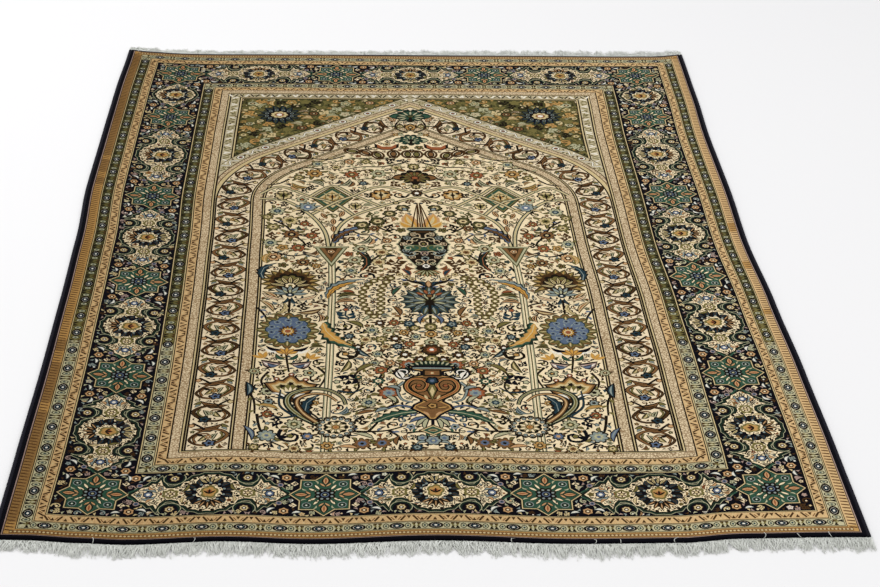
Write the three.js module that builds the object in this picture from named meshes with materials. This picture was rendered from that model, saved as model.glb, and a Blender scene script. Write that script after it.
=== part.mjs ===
// A hand-knotted Persian prayer rug lying flat on the floor.
//
// Four kinds of piece make the rug: the knotted pile, an overcast cord along each long side, and
// at each end a comb of loose warp fringe that grows out of a narrow flat-woven strip.
// The rug lies in X and Y with its length along Y, its arch towards +Y, and its underside at z = 0.
// The origin is at the middle of the underside of the whole rug, fringes included.

import * as THREE from 'three';

// ---- Driving dimensions, in millimetres ------------------------------------------------------

const RUG_WIDTH = 1400; // over both side cords
const PILE_LENGTH = 2000; // first row of knots to last row of knots
const PILE_HEIGHT = 6.5;
const PILE_SHOULDER = 1.5; // how far the clipped edge of the pile leans in at its top
const CORD_WIDTH = 8;
const CORD_HEIGHT = 6;
const PIECE_GAP = 0.3;

const END_STRIP_WIDTH = 8; // the flat-woven strip between pile and fringe
const FRINGE_THICKNESS = 2.5;
const TASSEL_PITCH = 17;
const TASSEL_ROOT_GAP = 2.4; // space between two tassels where they leave the strip
const TASSEL_TIP_WIDTH = 6;
const TASSEL_TIP_POINT = 2; // how far the point of the tip stands out past its corners
const TASSEL_PINCH = 1.5; // how much slimmer a tassel is on each side halfway along
const TASSEL_LEAN = 6; // most that a tassel's tip swings to either side
const TASSEL_BOW = 0.4; // share of the lean that it already has halfway along
const TASSEL_LENGTH_SPREAD = 9; // longest tassel less shortest tassel, along one stretch
const LENGTH_STRIDE = 0.618; // steps of the two scatters that vary the tassels
const LEAN_STRIDE = 0.755;

// ---- How the outline wanders -----------------------------------------------------------------

// How far each long side stands out from its straight line, from the front end to the back end.
const SIDE_WANDER = [
  { along: 0.0, left: 0, right: 6 },
  { along: 0.12, left: -1, right: 5 },
  { along: 0.25, left: -3, right: 2 },
  { along: 0.37, left: -2, right: -4 },
  { along: 0.5, left: 1, right: -13 },
  { along: 0.62, left: 10, right: -8 },
  { along: 0.75, left: 9, right: -9 },
  { along: 0.87, left: 8, right: -3 },
  { along: 1.0, left: 2, right: 0 },
];

// How far each end of the pile stands out from its straight line, and how long its fringe is,
// from the left side to the right side. The back corners flare out, as a tightly bound end does.
const END_WANDER = [
  { across: 0.0, front: -8, back: 24, frontFringe: 30, backFringe: 38 },
  { across: 0.04, front: -6, back: 10, frontFringe: 33, backFringe: 42 },
  { across: 0.1, front: 2, back: -1, frontFringe: 40, backFringe: 46 },
  { across: 0.15, front: 7, back: -3, frontFringe: 39, backFringe: 46 },
  { across: 0.26, front: -2, back: -1, frontFringe: 38, backFringe: 44 },
  { across: 0.36, front: 6, back: 1, frontFringe: 41, backFringe: 46 },
  { across: 0.5, front: -3, back: 3, frontFringe: 42, backFringe: 50 },
  { across: 0.66, front: 7, back: 4, frontFringe: 43, backFringe: 54 },
  { across: 0.78, front: 5, back: 5, frontFringe: 37, backFringe: 56 },
  { across: 0.85, front: -6, back: 5, frontFringe: 36, backFringe: 56 },
  { across: 0.95, front: -9, back: 8, frontFringe: 40, backFringe: 52 },
  { across: 1.0, front: -9, back: 24, frontFringe: 42, backFringe: 46 },
];

// ---- How finely the curves are cut -----------------------------------------------------------

const SIDE_STEPS = 44;
const END_STEPS = 48;
const CORD_SIDES = 10;

// ---- The shape of the outline ----------------------------------------------------------------

// Reads a column of a table at a station, easing from each row to the next.
function wander(rows, station, column, at) {
  const upper = rows.findIndex((row) => row[station] >= at);
  if (upper <= 0) {
    return rows[0][column];
  }
  const low = rows[upper - 1];
  const high = rows[upper];
  const part = THREE.MathUtils.smoothstep(at, low[station], high[station]);
  return THREE.MathUtils.lerp(low[column], high[column], part);
}

// The place of a point that lies `across` millimetres from the left side of the rug and `along`
// millimetres from the front end of its pile. The four edges wander, and the inside follows them.
function rugPoint(across, along) {
  const u = across / RUG_WIDTH;
  const v = along / PILE_LENGTH;
  const edgeU = THREE.MathUtils.clamp(u, 0, 1);
  const edgeV = THREE.MathUtils.clamp(v, 0, 1);
  const left = -RUG_WIDTH / 2 - wander(SIDE_WANDER, 'along', 'left', edgeV);
  const right = RUG_WIDTH / 2 + wander(SIDE_WANDER, 'along', 'right', edgeV);
  const front = -PILE_LENGTH / 2 - wander(END_WANDER, 'across', 'front', edgeU);
  const back = PILE_LENGTH / 2 + wander(END_WANDER, 'across', 'back', edgeU);
  return new THREE.Vector2(
    THREE.MathUtils.lerp(left, right, u),
    THREE.MathUtils.lerp(front, back, v),
  );
}

// ---- Solids from rings of points -------------------------------------------------------------

// Joins rings of equally many points into one closed body, with a flat cap at each end. The flat
// points are the ring's outline as the caps see it, anticlockwise from the last ring's side.
function loftRings(rings, flatPoints) {
  const count = flatPoints.length;
  const positions = rings.flatMap((ring) => ring.flatMap((point) => point.toArray()));
  const indices = [];
  for (let ring = 0; ring < rings.length - 1; ring += 1) {
    const base = ring * count;
    for (let point = 0; point < count; point += 1) {
      const next = (point + 1) % count;
      indices.push(base + point, base + next, base + count + next);
      indices.push(base + point, base + count + next, base + count + point);
    }
  }
  const top = (rings.length - 1) * count;
  for (const [a, b, c] of THREE.ShapeUtils.triangulateShape(flatPoints, [])) {
    indices.push(c, b, a);
    indices.push(top + a, top + b, top + c);
  }
  const geometry = new THREE.BufferGeometry();
  geometry.setAttribute('position', new THREE.Float32BufferAttribute(positions, 3));
  geometry.setIndex(indices);
  geometry.computeVertexNormals();
  return geometry;
}

function liftOutline(outline, z) {
  return outline.map((point) => new THREE.Vector3(point.x, point.y, z));
}

// Places across the rug, from the pile's left side to its right side. The fringe's inner edge
// bends at the same places, so that the two stay a steady gap apart.
function placesAcross(margin) {
  const inset = CORD_WIDTH + PIECE_GAP + margin;
  const width = RUG_WIDTH - 2 * inset;
  return Array.from({ length: END_STEPS + 1 }, (_, step) => inset + (width * step) / END_STEPS);
}

// ---- The knotted pile ------------------------------------------------------------------------

// The pile's outline, anticlockwise, drawn in from the pile's own edges by a margin.
function pileOutline(margin) {
  const across = placesAcross(margin);
  const length = PILE_LENGTH - 2 * margin;
  const along = Array.from(
    { length: SIDE_STEPS - 1 },
    (_, step) => margin + (length * (step + 1)) / SIDE_STEPS,
  );
  return [
    ...across.map((place) => rugPoint(place, margin)),
    ...along.map((place) => rugPoint(across.at(-1), place)),
    ...across.toReversed().map((place) => rugPoint(place, margin + length)),
    ...along.toReversed().map((place) => rugPoint(across[0], place)),
  ];
}

function pileGeometry() {
  const outer = pileOutline(0);
  const inner = pileOutline(PILE_SHOULDER);
  const rings = [
    liftOutline(outer, 0),
    liftOutline(outer, PILE_HEIGHT - PILE_SHOULDER),
    liftOutline(inner, PILE_HEIGHT),
  ];
  return loftRings(rings, outer);
}

// ---- The overcast side cords -----------------------------------------------------------------

// A cord of round section with a flat underside, run along one long side of the rug.
function cordGeometry(across) {
  const facet = Math.PI / CORD_SIDES;
  const flatten = Math.cos(facet); // brings the lowest facet down to the floor
  const section = [];
  for (let side = 0; side < CORD_SIDES; side += 1) {
    const turn = -Math.PI / 2 + facet + 2 * facet * side;
    const out = (Math.cos(turn) * CORD_WIDTH) / 2;
    const up = (CORD_HEIGHT / 2) * (1 + Math.sin(turn) / flatten);
    section.push(new THREE.Vector2(out, up));
  }
  const rings = [];
  for (let step = 0; step <= SIDE_STEPS; step += 1) {
    const along = PILE_LENGTH * (1 - step / SIDE_STEPS);
    rings.push(
      section.map((point) => {
        const place = rugPoint(across + point.x, along);
        return new THREE.Vector3(place.x, place.y, point.y);
      }),
    );
  }
  return loftRings(rings, section);
}

// ---- The fringes -----------------------------------------------------------------------------

// An even but irregular spread of values between -0.5 and 0.5, one for each tassel.
function scatter(index, stride) {
  return ((index * stride) % 1) - 0.5;
}

// The seven corners of one tassel: the warp ends of one stretch of the strip, drawn together and
// lying where they fell. It runs out from the strip's outer edge.
function tasselOutline(end, index, pitch) {
  const left = index * pitch + TASSEL_ROOT_GAP / 2;
  const right = (index + 1) * pitch - TASSEL_ROOT_GAP / 2;
  const middle = (left + right) / 2;
  const usual = wander(END_WANDER, 'across', end.lengthColumn, middle / RUG_WIDTH);
  const length = usual + TASSEL_LENGTH_SPREAD * scatter(index, LENGTH_STRIDE);
  const lean = 2 * TASSEL_LEAN * scatter(index, LEAN_STRIDE);
  const root = PIECE_GAP + END_STRIP_WIDTH;
  const waist = (root + length) / 2;
  const bow = TASSEL_BOW * lean;
  const tip = THREE.MathUtils.clamp(middle + lean, TASSEL_TIP_WIDTH, RUG_WIDTH - TASSEL_TIP_WIDTH);
  return [
    [left, root],
    [left + bow + TASSEL_PINCH, waist],
    [tip - TASSEL_TIP_WIDTH / 2, length - TASSEL_TIP_POINT],
    [tip, length],
    [tip + TASSEL_TIP_WIDTH / 2, length - TASSEL_TIP_POINT],
    [right + bow - TASSEL_PINCH, waist],
    [right, root],
  ];
}

// One comb: the flat-woven strip along the pile's end, with the tassels that run out from it.
function fringeOutline(end) {
  const tassels = Math.round(RUG_WIDTH / TASSEL_PITCH);
  const pitch = RUG_WIDTH / tassels;
  const corners = Array.from({ length: tassels }, (_, index) => tasselOutline(end, index, pitch));
  const strip = [RUG_WIDTH, ...placesAcross(0).toReversed(), 0].map((place) => [place, PIECE_GAP]);
  const outline = [...corners.flat(), ...strip].map(([across, distance]) =>
    rugPoint(across, end.pileEnd + end.outward * distance),
  );
  return end.outward < 0 ? outline : outline.reverse();
}

function fringeGeometry(end) {
  const outline = fringeOutline(end);
  return loftRings([liftOutline(outline, 0), liftOutline(outline, FRINGE_THICKNESS)], outline);
}

// ---- The rug ---------------------------------------------------------------------------------

const knottedWool = { color: 0x9a8560, roughness: 0.9, metalness: 0 };
const overcastWool = { color: 0x17141f, roughness: 0.88, metalness: 0 };
const cottonWarp = { color: 0xd8d6c8, roughness: 0.92, metalness: 0 };

function piece(name, geometry, finish) {
  const mesh = new THREE.Mesh(geometry, new THREE.MeshStandardMaterial(finish));
  mesh.name = name;
  return mesh;
}

const frontEnd = { pileEnd: 0, outward: -1, lengthColumn: 'frontFringe' };
const backEnd = { pileEnd: PILE_LENGTH, outward: 1, lengthColumn: 'backFringe' };

const rug = new THREE.Group();
rug.add(piece('woven_pile', pileGeometry(), knottedWool));
rug.add(piece('selvedge_left', cordGeometry(CORD_WIDTH / 2), overcastWool));
rug.add(piece('selvedge_right', cordGeometry(RUG_WIDTH - CORD_WIDTH / 2), overcastWool));
rug.add(piece('fringe_front', fringeGeometry(frontEnd), cottonWarp));
rug.add(piece('fringe_back', fringeGeometry(backEnd), cottonWarp));

// Bring the middle of the whole underside to the origin.
const extent = new THREE.Box3().setFromObject(rug, true);
const middle = extent.getCenter(new THREE.Vector3());
rug.position.set(-middle.x, -middle.y, -extent.min.z);

export default rug;
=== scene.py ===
"""A hand-knotted Persian prayer rug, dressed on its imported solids.

The design is drawn as coloured shapes on the rug's plane in real millimetres, cut into one flat
net of faces for each part of the rug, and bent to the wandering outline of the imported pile.
"""

import logging
import math
import random
from collections.abc import Iterator, Sequence
from contextlib import contextmanager
from dataclasses import dataclass
from enum import Enum

import bpy
import numpy as np
from mathutils import Matrix, Vector
from mathutils.geometry import delaunay_2d_cdt


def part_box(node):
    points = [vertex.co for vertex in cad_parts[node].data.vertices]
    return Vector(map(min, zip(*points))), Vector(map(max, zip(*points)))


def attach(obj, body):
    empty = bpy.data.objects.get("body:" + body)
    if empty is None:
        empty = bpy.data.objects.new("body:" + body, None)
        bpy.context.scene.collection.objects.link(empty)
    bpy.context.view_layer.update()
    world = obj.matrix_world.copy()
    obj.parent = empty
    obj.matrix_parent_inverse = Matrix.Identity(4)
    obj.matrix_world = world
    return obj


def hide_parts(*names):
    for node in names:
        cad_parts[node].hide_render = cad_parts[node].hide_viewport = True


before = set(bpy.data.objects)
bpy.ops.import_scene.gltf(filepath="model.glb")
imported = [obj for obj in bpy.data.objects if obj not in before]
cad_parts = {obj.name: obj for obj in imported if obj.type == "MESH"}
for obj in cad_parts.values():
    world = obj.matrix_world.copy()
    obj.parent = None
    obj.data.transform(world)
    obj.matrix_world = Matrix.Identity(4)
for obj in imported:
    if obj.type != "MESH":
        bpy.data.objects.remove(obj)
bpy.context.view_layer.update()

log = logging.getLogger("rug")

MM = 0.001  # metres in a millimetre

# ---- The rug's plan, in millimetres ----------------------------------------------------------

RUG_WIDTH = 1400.0  # over both side cords
PILE_LENGTH = 2000.0
HALF_WIDTH = RUG_WIDTH / 2
HALF_LENGTH = PILE_LENGTH / 2

Point = tuple[float, float]
Area = tuple[float, float, float, float]  # x and y of the lower corner, x and y of the upper one


class Dye(Enum):
    """The dye lots of the wool, as sRGB colours."""

    NAVY = "#08070e"
    INK = "#171008"
    BROWN = "#40280f"
    WALNUT = "#775029"
    GOLD = "#b68744"
    UMBER = "#8f6835"
    OCHRE = "#cf9437"
    STRAW = "#d2b981"
    CREAM = "#fce4b3"
    BUFF = "#f4ddb2"
    IVORY = "#f6efdc"
    STONE = "#e6cda2"
    SAND = "#c3b38c"
    TAN = "#d3aa70"
    ROSE = "#a3867a"
    SALMON = "#c59460"
    RUST = "#964f2a"
    DEEP_GREEN = "#14241a"
    GREEN = "#274a37"
    SAGE = "#b0ad85"
    OAT = "#bdb58b"
    OLIVE = "#6c6230"
    MOSS = "#454220"
    TEAL = "#1a313a"
    BLUE = "#51627b"
    SLATE = "#818d86"


Dyes = tuple[Dye, ...]
(NAVY, INK, BROWN, WALNUT, GOLD, UMBER, OCHRE, STRAW, CREAM, BUFF, IVORY, STONE, SAND, TAN, ROSE, SALMON,
 RUST, DEEP_GREEN, GREEN, SAGE, OAT, OLIVE, MOSS, TEAL, BLUE, SLATE) = Dye
NUMBER = {dye: number for number, dye in enumerate(Dye)}

# Flowers and leaves, from the outline inwards.
DARK_EYE = (INK, BROWN, IVORY)
RING_EYE = (BROWN, STRAW, BROWN)
CREAM_BLOOM = (INK, STRAW, OLIVE, INK)
STRAW_BLOOM = (INK, STRAW, WALNUT, BROWN)
GOLD_BLOOM = (INK, GOLD, BROWN, STRAW)
TAN_BLOOM = (INK, SALMON, BROWN, CREAM)
RUST_BLOOM = (INK, RUST, MOSS, STRAW)
OLIVE_BLOOM = (INK, OLIVE, STRAW, INK)
SAGE_BLOOM = (MOSS, SAGE, BROWN, STRAW)
SLATE_BLOOM = (INK, SAGE, TEAL, SLATE)
BLUE_BLOOM = (INK, TEAL, SLATE, INK)
WALNUT_BLOOM = (INK, WALNUT, NAVY, STRAW)
GREEN_BLOOM = (DEEP_GREEN, GREEN, CREAM, INK)


# ---- Drawing ---------------------------------------------------------------------------------


def smooth_line(points: Sequence[Point], steps: int = 4) -> list[Point]:
    """Rounds a line through its points.

    Args:
        points: The corners that the line passes through.
        steps: How many pieces each stretch between two corners is cut into.

    Returns:
        The points of the rounded line.
    """
    corners = np.array([points[0], *points, points[-1]], float)
    line = []
    for before, start, end, after in zip(corners, corners[1:], corners[2:], corners[3:]):
        for t in np.arange(steps) / steps:
            pull = (end - before) * t
            sway = (2 * before - 5 * start + 4 * end - after) * t**2
            swing = (3 * start - before - 3 * end + after) * t**3
            line.append(tuple(0.5 * (2 * start + pull + sway + swing)))
    return [*line, tuple(points[-1])]


def grown(outline: Sequence[Point], by: float) -> list[Point]:
    """Moves a closed anticlockwise outline outwards, or inwards where the distance is negative."""
    points = np.asarray(outline, float)
    ahead = np.roll(points, -1, axis=0) - points
    ahead /= np.linalg.norm(ahead, axis=1)[:, None]
    behind = np.roll(ahead, 1, axis=0)
    normals = np.column_stack([ahead[:, 1] + behind[:, 1], -ahead[:, 0] - behind[:, 0]])
    lengths = np.linalg.norm(normals, axis=1)[:, None]
    slack = np.clip(lengths / 2, 0.55, 1.0)
    return [tuple(p) for p in points + normals / lengths * by / slack]


@dataclass(frozen=True)
class Route:
    """A line that bands and vines follow, measured along its own length."""

    points: np.ndarray

    @property
    def marks(self) -> np.ndarray:
        """The distance of each point from the start."""
        steps = np.linalg.norm(np.diff(self.points, axis=0), axis=1)
        return np.concatenate([[0.0], np.cumsum(steps)])

    @property
    def length(self) -> float:
        """The whole length of the line."""
        return float(self.marks[-1])

    def at(self, distance: float) -> tuple[float, float, float]:
        """The place and heading at a distance from the start.

        Args:
            distance: Millimetres along the line.

        Returns:
            x, y and the heading in radians.
        """
        marks = self.marks
        upper = int(np.clip(np.searchsorted(marks, distance), 1, len(marks) - 1))
        start, end = self.points[upper - 1], self.points[upper]
        share = (distance - marks[upper - 1]) / max(marks[upper] - marks[upper - 1], 1e-9)
        x, y = start + (end - start) * share
        return float(x), float(y), math.atan2(end[1] - start[1], end[0] - start[0])

    def stations(self, pitch: float) -> list[tuple[float, float, float]]:
        """Places and headings of even stations, as near to the wanted pitch as fits.

        Args:
            pitch: The wanted distance from one station to the next.

        Returns:
            x, y and heading of each station.
        """
        count = max(1, round(self.length / pitch))
        return [self.at(self.length * (i + 0.5) / count) for i in range(count)]


class Chart:
    """Coloured shapes on the rug's plane, in millimetres. A later shape covers an earlier one.

    A coarse map keeps which dye shows where, so that small motifs can find the ground that is left.
    """

    cell = 2.0  # the coarse map's
    # How wide each round of a flower is, and each line of a stroke, as shares of the outermost.
    rounds = {1: (1.0,), 2: (1.0, 0.66), 3: (1.0, 0.74, 0.36), 4: (1.0, 0.8, 0.5, 0.22)}
    lines = (1.0, 0.55, 0.2)
    # The width of each layer of a leaf, and how far it stays back from the tips.
    layers = ((1.0, 0.0), (0.6, 0.1), (0.24, 0.2))
    # The sizes from which a round shows lobes, a lobe is rounded, and a leaf's edge is curved.
    lobed_from = 2.2
    rounded_from = 11.0
    curved_from = 9.0
    teeth = 6  # on each side of a plume
    vine_width = 6.0
    vine_pitch = 20.0  # from one leaf of a vine to the next

    def __init__(self) -> None:
        """Starts with an empty chart."""
        self.shapes: list[tuple[Dye, np.ndarray]] = []
        self.x = np.arange(-HALF_WIDTH, HALF_WIDTH, self.cell) + self.cell / 2
        self.y = np.arange(-HALF_LENGTH, HALF_LENGTH, self.cell) + self.cell / 2
        self.map = np.zeros((len(self.y), len(self.x)), np.uint8)
        self._place = np.eye(3)
        self._sides: tuple[float, ...] = (1.0,)

    @contextmanager
    def at(
        self, x: float, y: float, turn: float = 0.0, size: float = 1.0, flip: bool = False
    ) -> Iterator[None]:
        """Moves, turns and sizes what is painted inside the with block.

        Args:
            x: Where the block's own origin lies.
            y: Where the block's own origin lies.
            turn: Anticlockwise turn, in radians.
            size: Scale.
            flip: Whether the block's y runs the other way.
        """
        kept = self._place
        c, s = size * math.cos(turn), size * math.sin(turn)
        side = -1.0 if flip else 1.0
        self._place = kept @ np.array([[c, -s * side, x], [s, c * side, y], [0, 0, 1]])
        yield
        self._place = kept

    def each(self, *rows: tuple) -> Iterator[list]:
        """Moves the chart to each row's x, y and turn in order, and yields what is left of the row."""
        for x, y, turn, *rest in rows:
            with self.at(x, y, turn):
                yield rest

    @contextmanager
    def paired(self) -> Iterator[None]:
        """Paints everything in the with block twice, mirrored about the rug's middle line."""
        self._sides = (1.0, -1.0)
        yield
        self._sides = (1.0,)

    def paint(self, dye: Dye, points: Sequence[Point]) -> None:
        """Adds one filled shape.

        Args:
            dye: Its colour.
            points: Its outline, which doesn't cross itself.
        """
        outline = np.asarray(points, float) @ self._place[:2, :2].T + self._place[:2, 2]
        for side in self._sides:
            shape = outline * (side, 1.0)
            self.shapes.append((dye, shape))
            self._mark(dye, shape)

    def _mark(self, dye: Dye, shape: np.ndarray) -> None:
        """Notes in the coarse map where a shape lies."""
        low, high = shape.min(0), shape.max(0)
        columns = slice(*np.searchsorted(self.x, (low[0], high[0])))
        rows = slice(*np.searchsorted(self.y, (low[1], high[1])))
        after = np.roll(shape, -1, axis=0)
        y = self.y[rows, None]
        crosses = (shape[:, 1] > y) != (after[:, 1] > y)
        rise = np.where(after[:, 1] == shape[:, 1], 1.0, after[:, 1] - shape[:, 1])
        cut = shape[:, 0] + (y - shape[:, 1]) * (after[:, 0] - shape[:, 0]) / rise
        inside = (crosses[:, None] & (self.x[columns][:, None] < cut[:, None])).sum(-1) % 2 == 1
        self.map[rows, columns][inside] = NUMBER[dye]

    def open_places(self, ground: Dye, area: Area, radius: float, rng: random.Random) -> Iterator[Point]:
        """Finds round places where nothing but one dye shows, in random order.

        Args:
            ground: The dye.
            area: Where to look.
            radius: The places' radius.
            rng: The source of chance.

        Yields:
            The middle of each place.
        """
        number, reach = NUMBER[ground], round(radius / self.cell)
        span = np.arange(-reach, reach + 1)
        disc = np.hypot(span[:, None], span) <= reach + 0.3
        rows, columns = np.nonzero(self.map == number)
        x, y = self.x[columns], self.y[rows]
        near = (x > area[0]) & (x < area[2]) & (y > area[1]) & (y < area[3])
        spots = list(zip(rows[near].tolist(), columns[near].tolist()))
        rng.shuffle(spots)
        for row, column in spots:
            patch = self.map[row - reach : row + reach + 1, column - reach : column + reach + 1]
            if patch.shape == disc.shape and (patch[disc] == number).all():
                yield float(self.x[column]), float(self.y[row])

    def box(self, dye: Dye, x0: float, y0: float, x1: float, y1: float) -> None:
        """Paints an upright rectangle from its two corners."""
        self.paint(dye, [(x0, y0), (x1, y0), (x1, y1), (x0, y1)])

    def nest(
        self, x: float, y: float, radius: float, dyes: Dyes, lobes: int = 0, stretch: float = 1.0,
        turn: float = 0.0, depth: float = 0.2
    ) -> None:
        """Paints rounds one inside the other, with scalloped edges where lobes are given.

        Args:
            x: Their middle.
            y: Their middle.
            radius: The outermost one's radius, to the top of a lobe.
            dyes: The colour of each round, the outermost first.
            lobes: How many lobes each round has.
            stretch: Height over width.
            turn: Turn of the lobes in radians.
            depth: How deep the notches are, as a share of the radius.
        """
        size = radius * math.hypot(self._place[0, 0], self._place[1, 0])
        for dye, share in zip(dyes, self.rounds[len(dyes)]):
            reach = radius * share
            if lobes and size * share > self.lobed_from:
                full = size * share > self.rounded_from
                parts = (1 - depth, 1 - depth * 0.18, 1.0, 1 - depth * 0.18) if full else (1 - depth, 1.0)
            else:
                parts = (1.0,)
            count = max(lobes, 5) * len(parts) if len(parts) > 1 else int(min(5 + size * share * 0.6, 20))
            outline = []
            for step in range(count):
                a = turn + math.tau * step / count
                r = reach * parts[step % len(parts)]
                outline.append((x + r * math.cos(a), y + r * stretch * math.sin(a)))
            self.paint(dye, outline)

    def leaf(
        self, dyes: Dyes, x0: float, y0: float, x1: float, y1: float, width: float, bend: float = 0.0
    ) -> None:
        """Paints a pointed leaf from tip to tip, each further dye on a smaller leaf inside it.

        Args:
            dyes: Its colours, the outline first.
            x0: First tip.
            y0: First tip.
            x1: Second tip.
            y1: Second tip.
            width: Its width in the middle.
            bend: How far its middle line bows to the left, as a share of its length.
        """
        start, reach = np.array([x0, y0]), np.array([x1 - x0, y1 - y0])
        across = np.array([-reach[1], reach[0]]) / math.hypot(*reach)
        size = math.hypot(*reach) * math.hypot(self._place[0, 0], self._place[1, 0])
        steps = 2 if size < self.curved_from else 4
        for dye, (breadth, inset) in zip(dyes, self.layers):
            t = inset * 0.8 + (1 - inset * 1.6) * np.arange(steps + 1)[:, None] / steps
            line = start + reach * t + across * 4 * bend * math.hypot(*reach) * t * (1 - t)
            own = np.linspace(0, 1, steps + 1)[1:-1, None]
            half = across * 0.5 * width * breadth * np.sin(math.pi * own) ** 0.8
            self.paint(dye, np.vstack([line[:1], line[1:-1] - half, line[-1:], (line[1:-1] + half)[::-1]]))

    def stroke(
        self, dyes: Dyes, points: Sequence[Point], width: float, end_width: float | None = None
    ) -> None:
        """Paints a line of even or tapering width, each further dye on a thinner line inside it.

        Args:
            dyes: Its colours, the outline first.
            points: The line's corners.
            width: Its width at the start.
            end_width: Its width at the end, the same if it isn't given.
        """
        line = np.asarray(points, float)
        ahead = np.diff(line, axis=0)
        ahead /= np.maximum(np.linalg.norm(ahead, axis=1), 1e-9)[:, None]
        joint = np.vstack([ahead[:1], ahead[:-1] + ahead[1:], ahead[-1:]])
        joint /= np.maximum(np.linalg.norm(joint, axis=1), 1e-9)[:, None]
        last = width if end_width is None else end_width
        half = np.linspace(width, last, len(line))[:, None] / 2
        for dye, share in zip(dyes, self.lines):
            side = np.column_stack([-joint[:, 1], joint[:, 0]]) * half * share
            left, right = line + side, line - side
            for i in range(len(line) - 1):
                self.paint(dye, [right[i], right[i + 1], left[i + 1], left[i]])

    def curve(
        self, dyes: Dyes, points: Sequence[Point], width: float, end_width: float | None = None,
        steps: int = 4
    ) -> None:
        """Paints a stroke along the rounded line through some points."""
        self.stroke(dyes, smooth_line(points, steps), width, end_width)

    def layered(self, outline: Sequence[Point], *layers: tuple[Dye, float]) -> None:
        """Paints one outline again and again, each time with a dye and a distance by which it is grown."""
        for dye, by in layers:
            self.paint(dye, grown(outline, by))

    def fan(
        self, x: float, y: float, turn: float, spread: float, count: int, start: float, end: float,
        width: float, dyes: Dyes, bend: float = 0.0
    ) -> None:
        """Paints leaves that open like a fan.

        Args:
            x: The point they open from.
            y: The point they open from.
            turn: Where the middle of the fan points, in radians.
            spread: The angle from the first leaf to the last.
            count: How many leaves.
            start: The distance from the point at which each leaf starts.
            end: The distance at which it ends.
            width: The width of a leaf.
            dyes: Its colours.
            bend: Its bow.
        """
        for i in range(count):
            with self.at(x, y, turn + spread * (i / max(count - 1, 1) - 0.5)):
                self.leaf(dyes, start, 0, end, 0, width, bend)

    def wreath(
        self, x: float, y: float, radius: float, count: int, size: float, dyes: Dyes, stretch: float = 1.0
    ) -> None:
        """Paints beads in a ring."""
        for i in range(count):
            a = math.tau * (i + 0.5) / count
            self.nest(x + radius * math.cos(a), y + radius * stretch * math.sin(a), size, dyes)

    def plume(self, dyes: Dyes, length: float, width: float, bend: float) -> None:
        """Paints a long toothed leaf from the origin along x, bowed to the left."""
        for dye, share in zip(dyes, (1.0, 0.62)):
            upper, lower = [], []
            for tooth in range(self.teeth):
                for part, reach in ((0.1, 0.58), (0.75, 1.0)):
                    t = (tooth + part) / self.teeth
                    x, y = length * t, 4 * bend * length * t * (1 - t)
                    half = 0.5 * width * share * math.sin(math.pi * min(t + 0.05, 0.97)) ** 0.7 * reach
                    upper.append((x, y + half))
                    lower.append((x, y - half))
            self.paint(dye, [(0, 0), *lower, (length, 0), *upper[::-1]])
        vein = [(length * t, 4 * bend * length * t * (1 - t)) for t in (0.04, 0.3, 0.6, 0.92)]
        self.stroke(dyes[2:], vein, 2.4, 1.0)

    def vine(self, points: Sequence[Point], leaf: Dyes) -> None:
        """Paints a curved black stem with small leaves on alternate sides."""
        line = smooth_line(points)
        self.stroke((INK,), line, self.vine_width, self.vine_width * 0.6)
        for i, (x, y, turn) in enumerate(Route(np.array(line)).stations(self.vine_pitch)):
            side = 1 if i % 2 else -1
            with self.at(x, y, turn + side * 0.8):
                self.leaf(leaf, 0, 0, 14, 0, 6.4, 0.16 * side)

    def strew(
        self, ground: Dye, area: Area, sizes: Sequence[float], darks: Dyes, brights: Dyes, seed: int,
        room: float
    ) -> None:
        """Fills what is left of a ground with small sprigs, flowers and leaves, the large ones first.

        Args:
            ground: The dye of the ground.
            area: Where to look for it.
            sizes: The motifs' radii.
            darks: Colours of their outlines and stems.
            brights: Colours of their petals.
            seed: The seed of chance.
            room: How much room each motif takes, as a multiple of its size.
        """
        rng = random.Random(seed)
        for size in sizes:
            for x, y in self.open_places(ground, area, size * room, rng):
                if len(self._sides) > 1 and x < size:
                    continue
                # The smallest are single dashes. The rest is by chance a spray, a flower, two leaves or a
                # curled stem.
                kind, dark = rng.random(), rng.choice(darks)
                bright, third = rng.choice(brights), rng.choice(brights)
                with self.at(x, y, rng.uniform(0, math.tau), size, rng.random() < 0.5):
                    if size < 6:
                        self.leaf((dark,), -1, -0.2, 1, 0.2, 0.9, 0.25)
                    elif kind < 0.38:
                        fine = min(1.0, 13.0 / size) ** 0.5
                        stem = [(-1, 0.2), (-0.35, -0.1), (0.45, 0.12)]
                        self.stroke((dark,), stem, 0.3 * fine, 0.2 * fine)
                        for foot, side in ((-0.85, 1), (-0.8, -1), (-0.35, 1), (-0.3, -1), (0.1, -1)):
                            self.leaf((dark,), foot, 0, foot + 0.42, side * 0.76, 0.46, 0.24 * side)
                        self.nest(0.62, 0.14, 0.38, (dark, bright), 5, 1.0, 0.4, 0.3)
                    elif kind < 0.5:
                        self.nest(0, 0, 0.9, (dark, bright, dark, third), 5, 1.0, kind * 9, 0.34)
                    elif kind < 0.76:
                        self.leaf((dark, bright, dark), -1, -0.35, 1, -0.1, 0.8, 0.3)
                        self.leaf((dark, third), -0.8, 0.3, 0.5, 0.85, 0.5, 0.2)
                    else:
                        scroll = [(-1, -0.5), (-0.75, 0.4), (0, 0.75), (0.7, 0.3), (0.5, -0.4),
                                  (-0.05, -0.35)]
                        self.curve((dark,), scroll, 0.34, 0.24, steps=2)
                        self.nest(0.05, -0.05, 0.36, (dark, bright), 5)
                        self.leaf((dark,), -0.85, 0.35, 0.0, 0.1, 0.5, 0.2)


# ---- Borders ---------------------------------------------------------------------------------


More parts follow.
